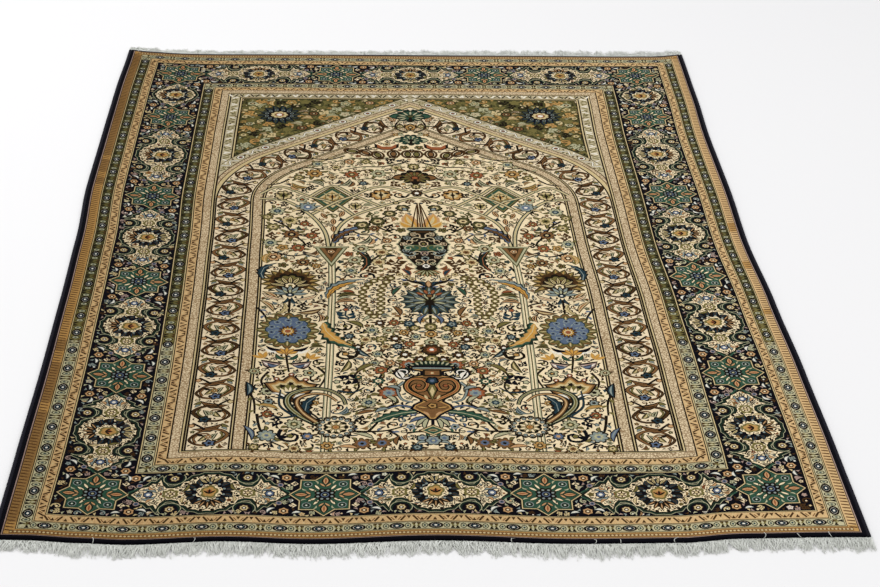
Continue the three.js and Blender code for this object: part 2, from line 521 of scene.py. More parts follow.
@dataclass(frozen=True)
class Band:
    """A straight band that runs round the rug, between two insets from its edge."""

    side_outer: float
    end_outer: float
    side_inner: float
    end_inner: float

    def runs(self) -> Iterator[tuple[Route, float, bool]]:
        """The band's four runs, anticlockwise, so that its left is always the rug's middle.

        Yields:
            Its centre line from corner to corner, half its width, and whether it is an end.
        """
        x = HALF_WIDTH - (self.side_outer + self.side_inner) / 2
        y = HALF_LENGTH - (self.end_outer + self.end_inner) / 2
        corners = [(-x, -y), (x, -y), (x, y), (-x, y), (-x, -y)]
        for i, (start, end) in enumerate(zip(corners, corners[1:])):
            is_end = i % 2 == 0
            outer = self.end_outer if is_end else self.side_outer
            inner = self.end_inner if is_end else self.side_inner
            yield Route(np.array([start, end], float)), (inner - outer) / 2, is_end

    def stations(
        self, chart: Chart, end_pitch: float, side_pitch: float
    ) -> Iterator[tuple[int, float, bool]]:
        """Moves the chart to even stations along the band, one after the other.

        Args:
            chart: The chart that takes the shapes.
            end_pitch: The distance between stations on the two ends.
            side_pitch: The distance between them on the two sides.

        Yields:
            The station's number, half the band's width, and whether it is on an end.
        """
        for route, half, is_end in self.runs():
            for i, (x, y, turn) in enumerate(route.stations(end_pitch if is_end else side_pitch)):
                with chart.at(x, y, turn):
                    yield i, half, is_end

    def areas(self) -> tuple[Area, ...]:
        """The four rectangles that the band covers."""
        x0, x1 = HALF_WIDTH - self.side_outer, HALF_WIDTH - self.side_inner
        y0, y1 = HALF_LENGTH - self.end_outer, HALF_LENGTH - self.end_inner
        return (-x0, -y0, x0, -y1), (-x0, y1, x0, y0), (-x0, -y1, -x1, y1), (x1, -y1, x0, y1)


@dataclass(frozen=True)
class BorderPattern:
    """The guard bands and the wide navy border with its stars and cartouches."""

    # From the edge inwards: inset at the sides, inset at the ends, ground.
    grounds: tuple[tuple[float, float, Dye], ...] = (
        (0.0, 0.0, NAVY),
        (14.8, 7.4, ROSE),
        (16.6, 8.6, INK),
        (18.0, 9.8, GOLD),
        (34.4, 22.2, INK),
        (35.8, 23.4, STRAW),
        (37.2, 24.4, INK),
        (38.4, 25.6, OAT),
        (57.0, 42.2, INK),
        (58.4, 43.4, STRAW),
        (59.8, 44.4, INK),
        (61.2, 46.0, TAN),
        (75.4, 63.2, INK),
        (76.8, 64.4, STRAW),
        (78.4, 65.6, INK),
        (80.2, 67.0, NAVY),
        (202.8, 186.0, INK),
        (204.2, 187.0, STRAW),
        (206.0, 188.4, INK),
        (207.8, 190.0, OAT),
        (228.6, 208.4, INK),
        (230.0, 209.6, STRAW),
        (231.8, 210.8, INK),
        (233.8, 212.2, TAN),
        (250.0, 227.6, INK),
        (252.6, 229.6, STONE),
        (267.6, 244.6, INK),
        (269.6, 246.2, STRAW),
        (272.2, 247.8, INK),
        (275.8, 250.6, BUFF),
    )
    tick_band: Band = Band(18.0, 9.8, 34.4, 22.2)
    oval_bands: tuple[Band, Band] = (Band(38.4, 25.6, 57.0, 42.2), Band(207.8, 190.0, 228.6, 208.4))
    chevron_bands: tuple[Band, Band] = (Band(61.2, 46.0, 75.4, 63.2), Band(233.8, 212.2, 250.0, 227.6))
    main_band: Band = Band(80.2, 67.0, 202.8, 186.0)
    dark_from: float = -400.0  # the oval bands change to a dark ground here
    # Where the stars stand, along each run of the wide border from its first corner.
    end_stars: tuple[float, ...] = (-558.0, -180.0, 183.0, 558.0)
    right_stars: tuple[float, ...] = (-872.0, -508.0, -146.0, 224.0, 626.0, 872.0)
    left_stars: tuple[float, ...] = (-872.0, -512.0, -167.0, 208.0, 614.0, 872.0)
    star_reach: float = 59.0

    # Where the gold of the outermost band is darker in stretches on the left, and paler on the right, where
    # the tan is painted sheen of the light that catches that side.
    dark_stretches: tuple[tuple[float, float], ...] = (
        (-960, -640), (-610, -480), (-440, -400), (250, 280), (310, 370), (390, 974),
    )
    sheen_stretches: tuple[tuple[float, float], ...] = ((-974, -300), (-280, -120), (-90, 40), (80, 974))

    def paint(self, chart: Chart) -> None:
        """Paints the whole border.

        Args:
            chart: The chart that takes the shapes.
        """
        for side, end, dye in self.grounds:
            chart.box(dye, side - HALF_WIDTH, end - HALF_LENGTH, HALF_WIDTH - side, HALF_LENGTH - end)
        self._ticks(chart)
        for band in self.chevron_bands:
            self._chevrons(chart, band)
        for band in self.oval_bands:
            self._ovals(chart, band)
        self._stars_and_cartouches(chart)
        for number, area in enumerate(self.main_band.areas()):
            chart.strew(CREAM, area, (11.0, 8.0, 6.0, 4.2, 3.0), (NAVY, INK, BROWN, INK),
                        (SLATE, SAGE, OLIVE, SALMON, RUST, GOLD), 40 + number, 0.76)
            chart.strew(NAVY, area, (10.5, 8.0, 6.2, 4.4), (SAGE, BROWN, STRAW, ROSE, SLATE),
                        (SALMON, CREAM, SLATE, NAVY, IVORY, ROSE, STRAW), 50 + number, 1.0)

    def _ticks(self, chart: Chart) -> None:
        """Paints the row of small teeth in the outermost gold band."""
        for side in (-1, 1):
            outer = side * (HALF_WIDTH - self.tick_band.side_outer)
            inner = side * (HALF_WIDTH - self.tick_band.side_inner)
            # The tan on the right is painted sheen where the light catches that side; the umber makes the
            # gold darker in stretches on the left.
            for foot, head in self.sheen_stretches if side > 0 else self.dark_stretches:
                chart.box(TAN if side > 0 else UMBER, min(outer, inner), foot, max(outer, inner), head)
        for _, half, is_end in self.tick_band.stations(chart, 6.4, 8.6):
            if is_end:
                chart.box(WALNUT, -3.2, -half * 0.75, 3.2, half * 0.65)
                chart.nest(0, 0, 2.2, (STRAW,), 4)
            else:
                for dye, head, (a, b, c, d) in ((WALNUT, 0.7, (-2.0, 1.8, 3.4, 0.4)),
                                                (BROWN, 0.5, (-1.0, 0.9, 2.3, 1.0))):
                    low, high = -half * 0.9, half * head
                    chart.paint(dye, [(a, low), (b, low), (c, high), (d, high)])

    def _chevrons(self, chart: Chart, band: Band) -> None:
        """Paints one band of leaning dashes with small triangles between them."""
        for i, half, _ in band.stations(chart, 21.0, 19.0):
            lean, reach = (1 if i % 2 else -1), half * 0.74
            chart.stroke((BROWN,), [(-3.4 * lean, -reach), (4.4 * lean, reach)], 3.6)
            chart.stroke((WALNUT,), [(-7.4 * lean, -reach * 0.7), (-2.4 * lean, reach * 0.5)], 2.0)
            foot = 1 if i % 4 < 2 else -1
            triangle = ((6.4, -reach), (13.6, -reach), (10.0, reach * 0.3))
            chart.paint(BROWN, [(x, foot * y) for x, y in triangle])
            chart.nest(10.0, foot * reach * 0.75, 1.8, (STRAW,), 4)

    def _ovals(self, chart: Chart, band: Band) -> None:
        """Paints one band of ringed ovals in a row."""
        for side in (-1, 1):
            outer, inner = side * (HALF_WIDTH - band.side_outer), side * (HALF_WIDTH - band.side_inner)
            top = HALF_LENGTH - band.end_inner - 12
            for dye, foot in ((OLIVE, self.dark_from), (MOSS, self.dark_from + 120)):
                chart.box(dye, min(outer, inner), foot, max(outer, inner), top)
        for _, half, _ in band.stations(chart, 62.0, 62.0):
            chart.nest(0, 0, 12.5, (INK, IVORY), stretch=half * 0.97 / 12.5)
            chart.nest(0, 0, 7.6, (INK, TEAL, IVORY), stretch=half * 0.62 / 7.6)
            for side in (-1, 1):
                chart.nest(side * 17.5, 0, 5.4, (INK, SAGE, TEAL), stretch=half * 0.86 / 5.4)
                for foot, dye in ((-1, INK), (1, BROWN)):
                    chart.paint(dye, [(side * 23.5, foot * half * 0.94), (side * 31, foot * half * 0.94),
                                      (side * 27.0, -foot * half * 0.1)])
                chart.stroke((OLIVE,), [(side * 25, half * 0.6), (side * 29.5, -half * 0.2)], 2.6)

    def _stars_and_cartouches(self, chart: Chart) -> None:
        """Paints the wide border: stars with a cartouche between each two."""
        for number, (route, _, is_end) in enumerate(self.main_band.runs()):
            stars = self.end_stars if is_end else (self.right_stars if number == 1 else self.left_stars)
            along = 1 if number in (0, 1) else -1
            with chart.at(*route.at(route.length / 2)):
                places = sorted(along * star for star in stars)
                for here, there in zip(places, places[1:]):
                    self._between(chart, here, there)
                for place in places[:-1]:
                    with chart.at(place, 0):
                        self._star(chart)

    def _between(self, chart: Chart, here: float, there: float) -> None:
        """Paints the cartouche and the flowers between two stars of a run."""
        with chart.at((here + there) / 2, 0):
            self._cartouche(chart, (there - here) / 2 - self.star_reach - 4.0)
        for star, away in ((here, 1), (there, -1)):
            for across in (-1, 1):
                chart.nest(star + away * 65, across * 46, 11.0, TAN_BLOOM, 6)
                chart.paint(CREAM, [(star + away * 51 + x, across * 30 + y) for x, y in
                                    ((-6.5, 0), (0, -6.5), (6.5, 0), (0, 6.5))])
                with chart.at(star + away * 44, across * 52):
                    chart.leaf((SLATE, IVORY), -8, 0, 8, 3, 6, 0.2)
                with chart.at(star + away * 85, across * 45, away * across * 0.6):
                    chart.leaf((SLATE, IVORY), -10, -3, 9, 2, 6.5, 0.25)
                chart.nest(star + away * 74, across * 25, 5.4, (ROSE, BLUE, INK))
                twig = [(star + away * 58, across * 6), (star + away * 72, across * 16)]
                chart.stroke((GREEN,), twig, 3.4)

    def _star(self, chart: Chart) -> None:
        """Paints one eight-pointed star of two crossed squares."""
        notch = math.cos(math.pi / 4) / math.cos(math.pi / 8)
        for dye, more in ((INK, 2.6), (STRAW, 0.0), (INK, -2.6), (GREEN, -4.6)):
            reach = self.star_reach + more
            chart.paint(dye, [(reach * (notch if corner % 2 else 1) * math.cos(math.pi * corner / 8),
                               reach * (notch if corner % 2 else 1) * math.sin(math.pi * corner / 8))
                              for corner in range(16)])
        for arm in range(4):
            with chart.at(0, 0, math.pi * arm / 2):
                chart.fan(22, 0, 0, 1.5, 2, 0, 15, 6, (INK, SALMON))
                chart.leaf((INK, SALMON, RUST), 27, 0, 51, 0, 14)
            with chart.at(0, 0, math.pi * (arm + 0.5) / 2):
                chart.fan(0, 0, 0, 0.42, 2, 16, 34, 7, (DEEP_GREEN, CREAM))
                chart.nest(41, 0, 7.6, (SLATE, INK, GREEN, IVORY))
                for side in (-1, 1):
                    chart.leaf((SAGE,), 30, side * 12, 40, side * 15, 3, 0.2 * side)
        chart.nest(0, 0, 18.5, (INK, NAVY), 8)
        chart.wreath(0, 0, 12.4, 8, 2.6, (SLATE,))
        chart.nest(0, 0, 7.0, (BLUE, INK, SAGE))

    def _cartouche(self, chart: Chart, half: float) -> None:
        """Paints one lobed cartouche along x.

        Args:
            chart: The chart that takes the shapes.
            half: Half its length. A short one keeps only its middle lobe and its points.
        """
        # Height of the edge over the middle line, from the middle to the tip of a long cartouche.
        long_edge = ((0, 49), (10, 50), (17, 45), (27, 43), (33, 34), (42, 31), (46, 20), (56, 15),
                     (68, 16), (74, 25), (78, 40), (83, 28), (90, 30), (96, 21), (106, 18), (112, 9),
                     (120, 0))
        short_edge = ((0, 48), (12, 44), (24, 38), (32, 27), (42, 24), (49, 12), (60, 0))
        is_long = half > 90
        edge = long_edge if is_long else short_edge
        stretch = half / edge[-1][0]
        quarter = [(x * stretch, y) for x, y in edge]
        upper = [(-x, y) for x, y in quarter[::-1]] + quarter[1:]
        lower = [(x, -y) for x, y in upper[::-1][1:-1]]
        outline = upper[::-1] + lower[::-1]
        chart.layered(outline, (SAGE, 7.4), (DEEP_GREEN, 6.4), (INK, 1.8), (CREAM, 0.0))
        chart.wreath(0, 0, 48, 16, 3.6, (INK,))
        self._crowned_flower(chart)
        if not is_long:
            for side in (-1, 1):
                chart.nest(side * half * 0.7, 0, 7, BLUE_BLOOM, 5)
            return
        for side in (-1, 1):
            with chart.at(side * 60 * stretch, 0):
                chart.nest(0, 0, 14.5, (OLIVE, CREAM), 6, 0.95)
                chart.fan(0, 0, 0, math.pi * 5 / 3, 6, 0, 10, 3, (BROWN,))
                chart.nest(0, 0, 4.6, (BROWN, STRAW))
            with chart.at(side * 92 * stretch, 0, 0 if side > 0 else math.pi):
                for across in (-1, 1):
                    chart.leaf((NAVY, SLATE), -13, across * 3, 15, across * 11, 10, 0.22 * across)
                    chart.leaf((BROWN, SALMON), -8, across * 13, 3, across * 24, 7, -0.25 * across)
                chart.nest(2, 0, 10, (NAVY, BLUE, IVORY), 7)
            for across in (-1, 1):
                with chart.at(side * 57 * stretch, across * 40, 0 if across > 0 else math.pi):
                    chart.nest(0, 2, 19, (SAGE,), stretch=0.9)
                    chart.nest(0, 2, 17.6, (DEEP_GREEN,), stretch=0.9)
                    chart.nest(0, 3, 14, (NAVY,), stretch=0.95)
                    chart.box(NAVY, -14, 4, 14, 20)
                    chart.nest(0, 2, 9.4, (BROWN, STRAW, BROWN, IVORY), 7)

    @staticmethod
    def _crowned_flower(chart: Chart) -> None:
        """Paints the big flower in the middle of a cartouche."""
        chart.nest(0, 2, 40, (INK,), 9, 0.98, 0.13, 0.2)
        chart.fan(0, 2, math.pi / 2, 4.9, 11, 22, 42, 12, (NAVY, TEAL, BROWN), 0.2)
        chart.nest(0, 2, 29, (NAVY,), 9, 0.96, 0.0, 0.16)
        chart.wreath(0, 2, 25, 10, 2.6, (SLATE,))
        chart.nest(0, 1, 22.5, (CREAM,), 8, 1.0)
        chart.nest(0, 2, 15.5, (OLIVE, GOLD, RUST), 4, 1.2, math.pi / 4)
        chart.fan(0, -4, math.pi / 2, 1.6, 3, 0, 14, 4, (INK,))
        chart.fan(0, -14, -math.pi / 2, 1.9, 5, 8, 31, 8, (INK, BROWN, SALMON))
        chart.fan(0, 22, math.pi / 2, 1.5, 4, 6, 26, 7, (INK, STRAW, OLIVE), 0.1)
        for side in (-1, 1):
            chart.leaf((INK, OLIVE), side * 36, 28, side * 46, 4, 8, -0.2 * side)
            chart.leaf((BROWN, STRAW), side * 38, -8, side * 40, -28, 7, 0.2 * side)


# ---- The niche ---------------------------------------------------------------------------------


INNER_X = 424.2  # half of the plain rectangle inside the borders
INNER_Y = 749.4


@dataclass(frozen=True)
class Niche:
    """The pointed arch. Every line of it keeps its distance from one spine.

    The spine runs up the middle of the vine band, turns inwards on one round and goes straight on
    to the point.
    """

    spine_x: float = 385.0
    spring_y: float = 190.8
    round_radius: float = 260.0
    pitch_angle: float = math.radians(39.3)

    def half(self, offset: float, steps: int) -> list[Point]:
        """The right half of the line that lies outside the spine by some distance.

        Args:
            offset: The distance, or inside if it is negative.
            steps: How many stretches the round is cut into.

        Returns:
            Its points from the foot to the point of the arch.
        """
        radius = self.round_radius + offset
        middle_x = self.spine_x - self.round_radius
        points = [(self.spine_x + offset, -INNER_Y)]
        for step in range(steps + 1):
            a = (math.pi / 2 - self.pitch_angle) * step / steps
            points.append((middle_x + radius * math.cos(a), self.spring_y + radius * math.sin(a)))
        x, y = points[-1]
        points.append((0.0, y + x * math.tan(self.pitch_angle)))
        return [(min(px, INNER_X), min(py, INNER_Y)) for px, py in points]

    def shape(self, offset: float) -> list[Point]:
        """The whole arch out to some distance from its spine, as a closed outline."""
        right = self.half(offset, 12)
        return right + [(-x, y) for x, y in right[::-1][1:]]

    def route(self, offset: float) -> Route:
        """The right half of a line of the arch, for motifs to follow."""
        return Route(np.array(self.half(offset, 30)))


NICHE = Niche()
NICHE_AREA = (-INNER_X, -INNER_Y, INNER_X, INNER_Y)


@dataclass(frozen=True)
class ArchPattern:
    """The bands that follow the arch: rings, two thin lines, the vine and the inner guard."""

    # From the outermost line inwards: distance from the spine, ground.
    grounds: tuple[tuple[float, Dye], ...] = (
        (87.0, INK),
        (85.0, SAND),
        (60.5, BROWN),
        (58.0, STONE),
        (49.5, BROWN),
        (47.5, STRAW),
        (38.5, INK),
        (35.0, BUFF),
        (-35.0, INK),
        (-38.2, STRAW),
        (-40.0, INK),
        (-43.0, STONE),
        (-60.0, INK),
        (-63.2, STRAW),
        (-65.0, INK),
        (-68.0, CREAM),
    )
    scroll_pitch: float = 73.5
    ring_pitch: float = 74.0

    def paint(self, chart: Chart) -> None:
        """Paints the bands, on both sides of the middle line.

        Args:
            chart: The chart that takes the shapes.
        """
        for offset, dye in self.grounds:
            chart.paint(dye, NICHE.shape(offset))
        with chart.paired():
            self._rings(chart)
            self._vine(chart)
            chart.strew(SAND, NICHE_AREA, (7.0, 5.0), (MOSS, BROWN, IVORY, OLIVE),
                        (SAGE, IVORY, OLIVE), 61, 0.85)
            chart.strew(BUFF, NICHE_AREA, (9.0, 6.4, 4.4), (BROWN, INK, INK, MOSS),
                        (OLIVE, SAGE, SALMON, WALNUT, STRAW), 62, 0.92)

    def _rings(self, chart: Chart) -> None:
        """Paints the ringed rounds and pale scrolls of the outer band."""
        for i, (x, y, turn) in enumerate(NICHE.route(72.5).stations(self.ring_pitch / 2)):
            if x > INNER_X - 14 or x < 16:
                continue
            with chart.at(x, y, turn):
                if i % 2:
                    chart.nest(0, 0, 11, (MOSS, IVORY, BROWN, RUST), stretch=0.9)
                else:
                    scroll = [(-20, -9), (-9, 6), (0, 0), (9, -6), (20, 9)]
                    chart.curve((MOSS, IVORY), scroll, 5.4, steps=2)

    def _vine(self, chart: Chart) -> None:
        """Paints the brown scrolls of the wide cream band."""
        route = NICHE.route(0)
        stations = route.stations(self.scroll_pitch)
        half = route.length / len(stations) / 2
        # Each scroll is a leaning, pointed ring, thickest at its head, which lies on alternate sides.
        ring = []
        for a in (math.tau * k / 20 for k in range(21)):
            x, y = 24 * math.cos(a) * (0.5 + 0.5 * abs(math.cos(a))), 32 * math.sin(a)
            ring.append((x + 0.2 * y, y))
        for i, (x, y, turn) in enumerate(stations[:-1]):
            with chart.at(x, y, turn, flip=bool(i % 2)):
                chart.leaf((INK, WALNUT, BROWN), half - 10, -31, half + 6, 24, 17, 0.2)
                chart.leaf((INK, OLIVE), half + 5, 20, half - 6, 34, 11, 0.2)
                chart.curve((INK,), [(20, -6), (half - 6, -14), (half + 8, -30)], 5.0, steps=3)
                chart.stroke((INK, BROWN), ring, 6.0)
                for side in (range(5, -3, -1), range(5, 13)):
                    chart.stroke((INK, (WALNUT, BROWN)[i % 3 == 1]), [ring[k % 20] for k in side], 9.6, 5.0)
                chart.curve((INK, WALNUT), [(-16, -20), (-3, -25), (9, -16), (11, -3), (3, 3)], 5.6, 3.6,
                            steps=3)
                chart.curve((INK, OLIVE), [(15, 20), (3, 24), (-8, 16), (-11, 7)], 5.2, 3.6, steps=3)
                chart.leaf((INK, OLIVE, STRAW), -12, -18, 8, -6, 12, 0.2)
                chart.leaf((INK, SAGE, INK), 12, 16, -10, 8, 11, 0.2)
                chart.leaf((INK,), 13, -20, 5, -6, 7, 0.2)
                chart.nest(1, 0, 8, (TAN_BLOOM, SAGE_BLOOM, GOLD_BLOOM)[i % 3], 5, 1.0, i * 0.7, 0.3)
                chart.nest(-18, 3 + 8 * (i % 2), 12, (INK, (BLUE, TEAL)[i % 2], INK), 5, 1.1, 0.4, 0.34)
                chart.nest(half, -31, 7, (BROWN, (SALMON, STRAW)[i % 2]), 5)
                chart.leaf((INK, SLATE), half - 16, 31, half - 8, 19, 7, 0.2)


@dataclass(frozen=True)
class SpandrelPattern:
    """The two dark corners over the arch and the pale frame above them."""

    frame_width: float = 20.0
    frame_end: float = 18.0
    line: float = 3.0
    flower_at: Point = (306.0, 632.0)

    def paint_ground(self, chart: Chart) -> None:
        """Paints the frame and the dark ground, which the arch then covers.

        Args:
            chart: The chart that takes the shapes.
        """
        x, y = INNER_X - self.frame_width, INNER_Y - self.frame_end
        chart.box(SAND, -INNER_X, 100.0, INNER_X, INNER_Y)
        with chart.paired():
            for i in range(34):
                lean = 4.0 if i % 2 else -4.0
                chart.stroke(((INK, IVORY)[i % 3 == 0],), [(10 + i * 12.6 - lean, y + 3),
                                                         (10 + i * 12.6 + lean, INNER_Y - 3)], 4.2)
                chart.stroke(((OLIVE, IVORY)[i % 3 == 0],), [(x + 3, y - 4 - i * 12.6 - lean),
                                                           (INNER_X - 3, y - 4 - i * 12.6 + lean)], 4.0)
        chart.box(INK, -x, 100.0, x, y)
        chart.box(STRAW, self.line - x, 103.0, x - self.line, y - self.line)
        chart.box(INK, 2 * self.line - x, 103.0, x - 2 * self.line, y - 2 * self.line)
        chart.box(MOSS, 3 * self.line - x, 103.0, x - 3 * self.line, y - 3 * self.line)

    def paint(self, chart: Chart) -> None:
        """Paints the crowded flowers of the dark corners.

        Args:
            chart: The chart that takes the shapes.
        """
        with chart.paired(), chart.at(*self.flower_at):
            chart.fan(0, 0, 0.1, math.tau * 13 / 14, 14, 18, 52, 17, (NAVY, TEAL, MOSS), 0.1)
            chart.nest(0, 0, 38, (NAVY,), 12, 0.9)
            chart.wreath(0, 0, 30, 12, 4.6, (SLATE, NAVY), stretch=0.9)
            chart.nest(0, 0, 25, (INK, STRAW, OLIVE, GOLD), 9, 0.9)
            chart.nest(0, 0, 11, (RUST, IVORY), 6)
        with chart.paired():
            for x, y, size, dyes in ((180, 690, 15, OLIVE_BLOOM), (96, 702, 13, TAN_BLOOM),
                                     (382, 520, 15, OLIVE_BLOOM), (250, 560, 15, WALNUT_BLOOM),
                                     (372, 694, 15, SAGE_BLOOM), (226, 640, 13, WALNUT_BLOOM),
                                     (372, 580, 12, SAGE_BLOOM), (386, 450, 12, SAGE_BLOOM)):
                chart.nest(x, y, size, dyes, 7, 0.9)
            chart.strew(MOSS, NICHE_AREA, (15.0, 10.5, 7.5, 5.0), (OLIVE, INK, STRAW, OLIVE, GOLD, SAGE),
                        (OLIVE, STRAW, OLIVE, GOLD, STONE, SAGE, WALNUT), 63, 0.74)


FIELD_AREA = (-330.0, -749.4, 330.0, 560.0)


@dataclass(frozen=True)
class FieldPattern:
    """The cream field inside the arch: columns, vase, hanging lamp, palmettes and vines.

    Everything is placed on the right half and painted on both.
    """

    column_x: float = 186.0
    capital_y: float = -20.0
    # Middle, size and colours of the round flowers, from the head of the arch down to its foot.
    flowers: tuple[tuple[float, float, float, Dyes], ...] = (
        (104, 378, 14, OLIVE_BLOOM), (140, 378, 14, TAN_BLOOM), (38, 346, 14, CREAM_BLOOM),
        (78, 318, 20, SAGE_BLOOM), (136, 314, 19, RUST_BLOOM), (170, 350, 13, CREAM_BLOOM),
        (216, 320, 22, GOLD_BLOOM), (250, 300, 15, OLIVE_BLOOM), (210, 368, 15, SLATE_BLOOM),
        (112, 270, 12, BLUE_BLOOM), (178, 300, 12, STRAW_BLOOM), (34, 520, 10, GOLD_BLOOM),
        (24, 566, 12, OLIVE_BLOOM), (42, 604, 11, TAN_BLOOM), (292, 138, 20, SLATE_BLOOM),
        (266, 96, 22, CREAM_BLOOM), (312, 110, 14, OLIVE_BLOOM), (236, 82, 13, RUST_BLOOM),
        (300, 66, 18, OLIVE_BLOOM), (262, 34, 21, WALNUT_BLOOM), (304, -4, 18, SLATE_BLOOM),
        (222, 30, 15, RUST_BLOOM), (248, -24, 17, RUST_BLOOM), (296, -64, 20, TAN_BLOOM),
        (238, -84, 17, WALNUT_BLOOM), (212, -98, 12, GOLD_BLOOM), (124, -28, 19, SAGE_BLOOM),
        (84, -44, 17, STRAW_BLOOM), (138, -74, 17, SAGE_BLOOM), (92, -86, 17, STRAW_BLOOM),
        (146, -118, 14, SLATE_BLOOM), (96, 60, 14, WALNUT_BLOOM), (72, 6, 13, TAN_BLOOM),
        (77, -570, 23, (BROWN, RUST, SLATE, BLUE)), (112, -600, 18, SLATE_BLOOM),
        (88, -728, 18, (BROWN, WALNUT, BLUE, INK)), (122, -728, 18, (BROWN, WALNUT, BLUE, INK)),
        (182, -732, 14, GOLD_BLOOM), (286, -706, 20, (INK, SLATE, SAGE, BLUE)),
        (240, -668, 18, (INK, SAGE, MOSS, STRAW)), (216, -704, 13, (INK, BLUE, SALMON)),
        (306, -742, 12, OLIVE_BLOOM), (238, -742, 13, STRAW_BLOOM), (28, -744, 13, BLUE_BLOOM),
        (38, -680, 10, (BLUE, SLATE, INK)), (288, -640, 13, RUST_BLOOM), (318, -500, 12, SAGE_BLOOM),
        (206, -600, 10, GOLD_BLOOM), (292, -566, 15, (INK, SAGE, INK)), (288, -600, 12, (INK, SLATE, INK)),
        (132, -516, 9, (INK, GREEN, SALMON)), (152, -560, 11, (INK, BROWN, SALMON)),
        (96, -530, 13, GREEN_BLOOM), (34, -640, 9, (INK, BLUE, IVORY)),
    )
    # The crowded round flowers over the vase.
    meadow: tuple[tuple[float, float, float, Dyes], ...] = (
        (49, -441, 14, DARK_EYE), (60, -501, 14, DARK_EYE), (21, -458, 14, DARK_EYE),
        (42, -476, 19, (BROWN, RUST, SLATE, NAVY)), (20, -432, 11, STRAW_BLOOM), (76, -470, 13, TAN_BLOOM),
        (98, -438, 13, SLATE_BLOOM), (84, -412, 13, STRAW_BLOOM), (62, -412, 13, BLUE_BLOOM),
        (66, -384, 14, DARK_EYE), (92, -386, 14, OLIVE_BLOOM), (40, -404, 13, RUST_BLOOM),
        (28, -378, 13, SLATE_BLOOM), (50, -362, 13, GOLD_BLOOM), (78, -354, 14, SAGE_BLOOM),
        (108, -352, 14, SLATE_BLOOM), (104, -470, 12, SLATE_BLOOM), (92, -494, 15, RUST_BLOOM),
        (30, -346, 12, OLIVE_BLOOM), (120, -386, 14, STRAW_BLOOM), (134, -412, 12, DARK_EYE),
        (40, -330, 14, BLUE_BLOOM), (68, -326, 13, RUST_BLOOM), (94, -326, 12, DARK_EYE),
        (18, -318, 11, GOLD_BLOOM), (150, -372, 12, BLUE_BLOOM), (150, -398, 12, OLIVE_BLOOM),
    )
    # Long toothed leaves: foot, heading, length, width, bow, colours.
    plumes: tuple[tuple[float, float, float, float, float, float, Dyes], ...] = (
        (178, -2, 2.3, 100, 32, -0.14, (INK, BLUE, SLATE)),
        (178, 2, 2.32, 80, 15, -0.14, (INK, WALNUT, INK)),
        (128, -122, 1.5, 88, 22, 0.2, (INK, DEEP_GREEN, RUST)),
        (194, -228, 2.35, 104, 30, -0.2, (TEAL, SLATE, INK)),
        (192, -230, 2.35, 92, 19, -0.2, (BROWN, OCHRE, WALNUT)),
        (194, -318, -2.1, 116, 44, 0.16, (DEEP_GREEN, GREEN, SAGE)),
        (198, -322, -2.14, 100, 26, 0.14, (GOLD, OCHRE, STRAW)),
        (312, -160, 1.9, 76, 26, -0.24, (INK, TEAL, SLATE)),
        (212, -652, 1.75, 82, 30, -0.22, (INK, TEAL, SLATE)),
        (24, -632, -0.42, 94, 28, 0.1, (DEEP_GREEN, GREEN, SAGE)),
        (296, -296, 1.9, 60, 20, 0.3, (INK, STRAW, OLIVE)),
        (310, -90, 1.8, 44, 20, -0.2, (OLIVE, GOLD, STRAW)),
    )
    # Single leaves: middle, heading, half length, width, colours.
    leaves: tuple[tuple[float, float, float, float, float, Dyes], ...] = (
        (158, -478, 1.9, 24, 15, (INK, OLIVE, STRAW)), (118, -486, -0.7, 24, 14, (BROWN, OLIVE)),
        (122, -430, -2.2, 22, 14, (INK, TEAL, SLATE)), (116, -634, -0.3, 20, 12, (INK, WALNUT)),
        (66, -556, 1.4, 18, 12, (INK, STRAW)), (146, -740, 0.2, 20, 12, (BROWN, SALMON)),
        (296, -180, 2.6, 22, 14, (BROWN, RUST)), (224, -196, 0.6, 22, 14, (INK, OLIVE)),
        (224, -276, 2.8, 26, 17, (INK, WALNUT, STRAW)), (306, -262, 1.0, 28, 14, (BROWN, STRAW, RUST)),
        (60, -206, -1.1, 20, 13, (BROWN, GREEN)), (140, -330, 0.7, 22, 15, (INK, OLIVE)),
        (42, -130, 1.1, 18, 13, (RUST, TEAL)), (288, -618, 0.3, 22, 12, (OLIVE, GOLD)),
        (300, -224, 0.9, 26, 15, (BROWN, STRAW, RUST)), (120, -706, 0.5, 22, 12, (INK, SAGE)),
        (60, -722, -1.4, 16, 11, (INK, WALNUT)), (320, -700, 1.2, 26, 13, (INK, BLUE, SLATE)),
        (330, -560, 1.5, 26, 18, (INK, TEAL, SLATE)), (64, -282, 1.2, 22, 13, (INK, WALNUT)),
        (106, -306, -0.6, 26, 13, (MOSS, SAGE)), (230, -140, 0.4, 20, 12, (BROWN, SALMON)),
    )
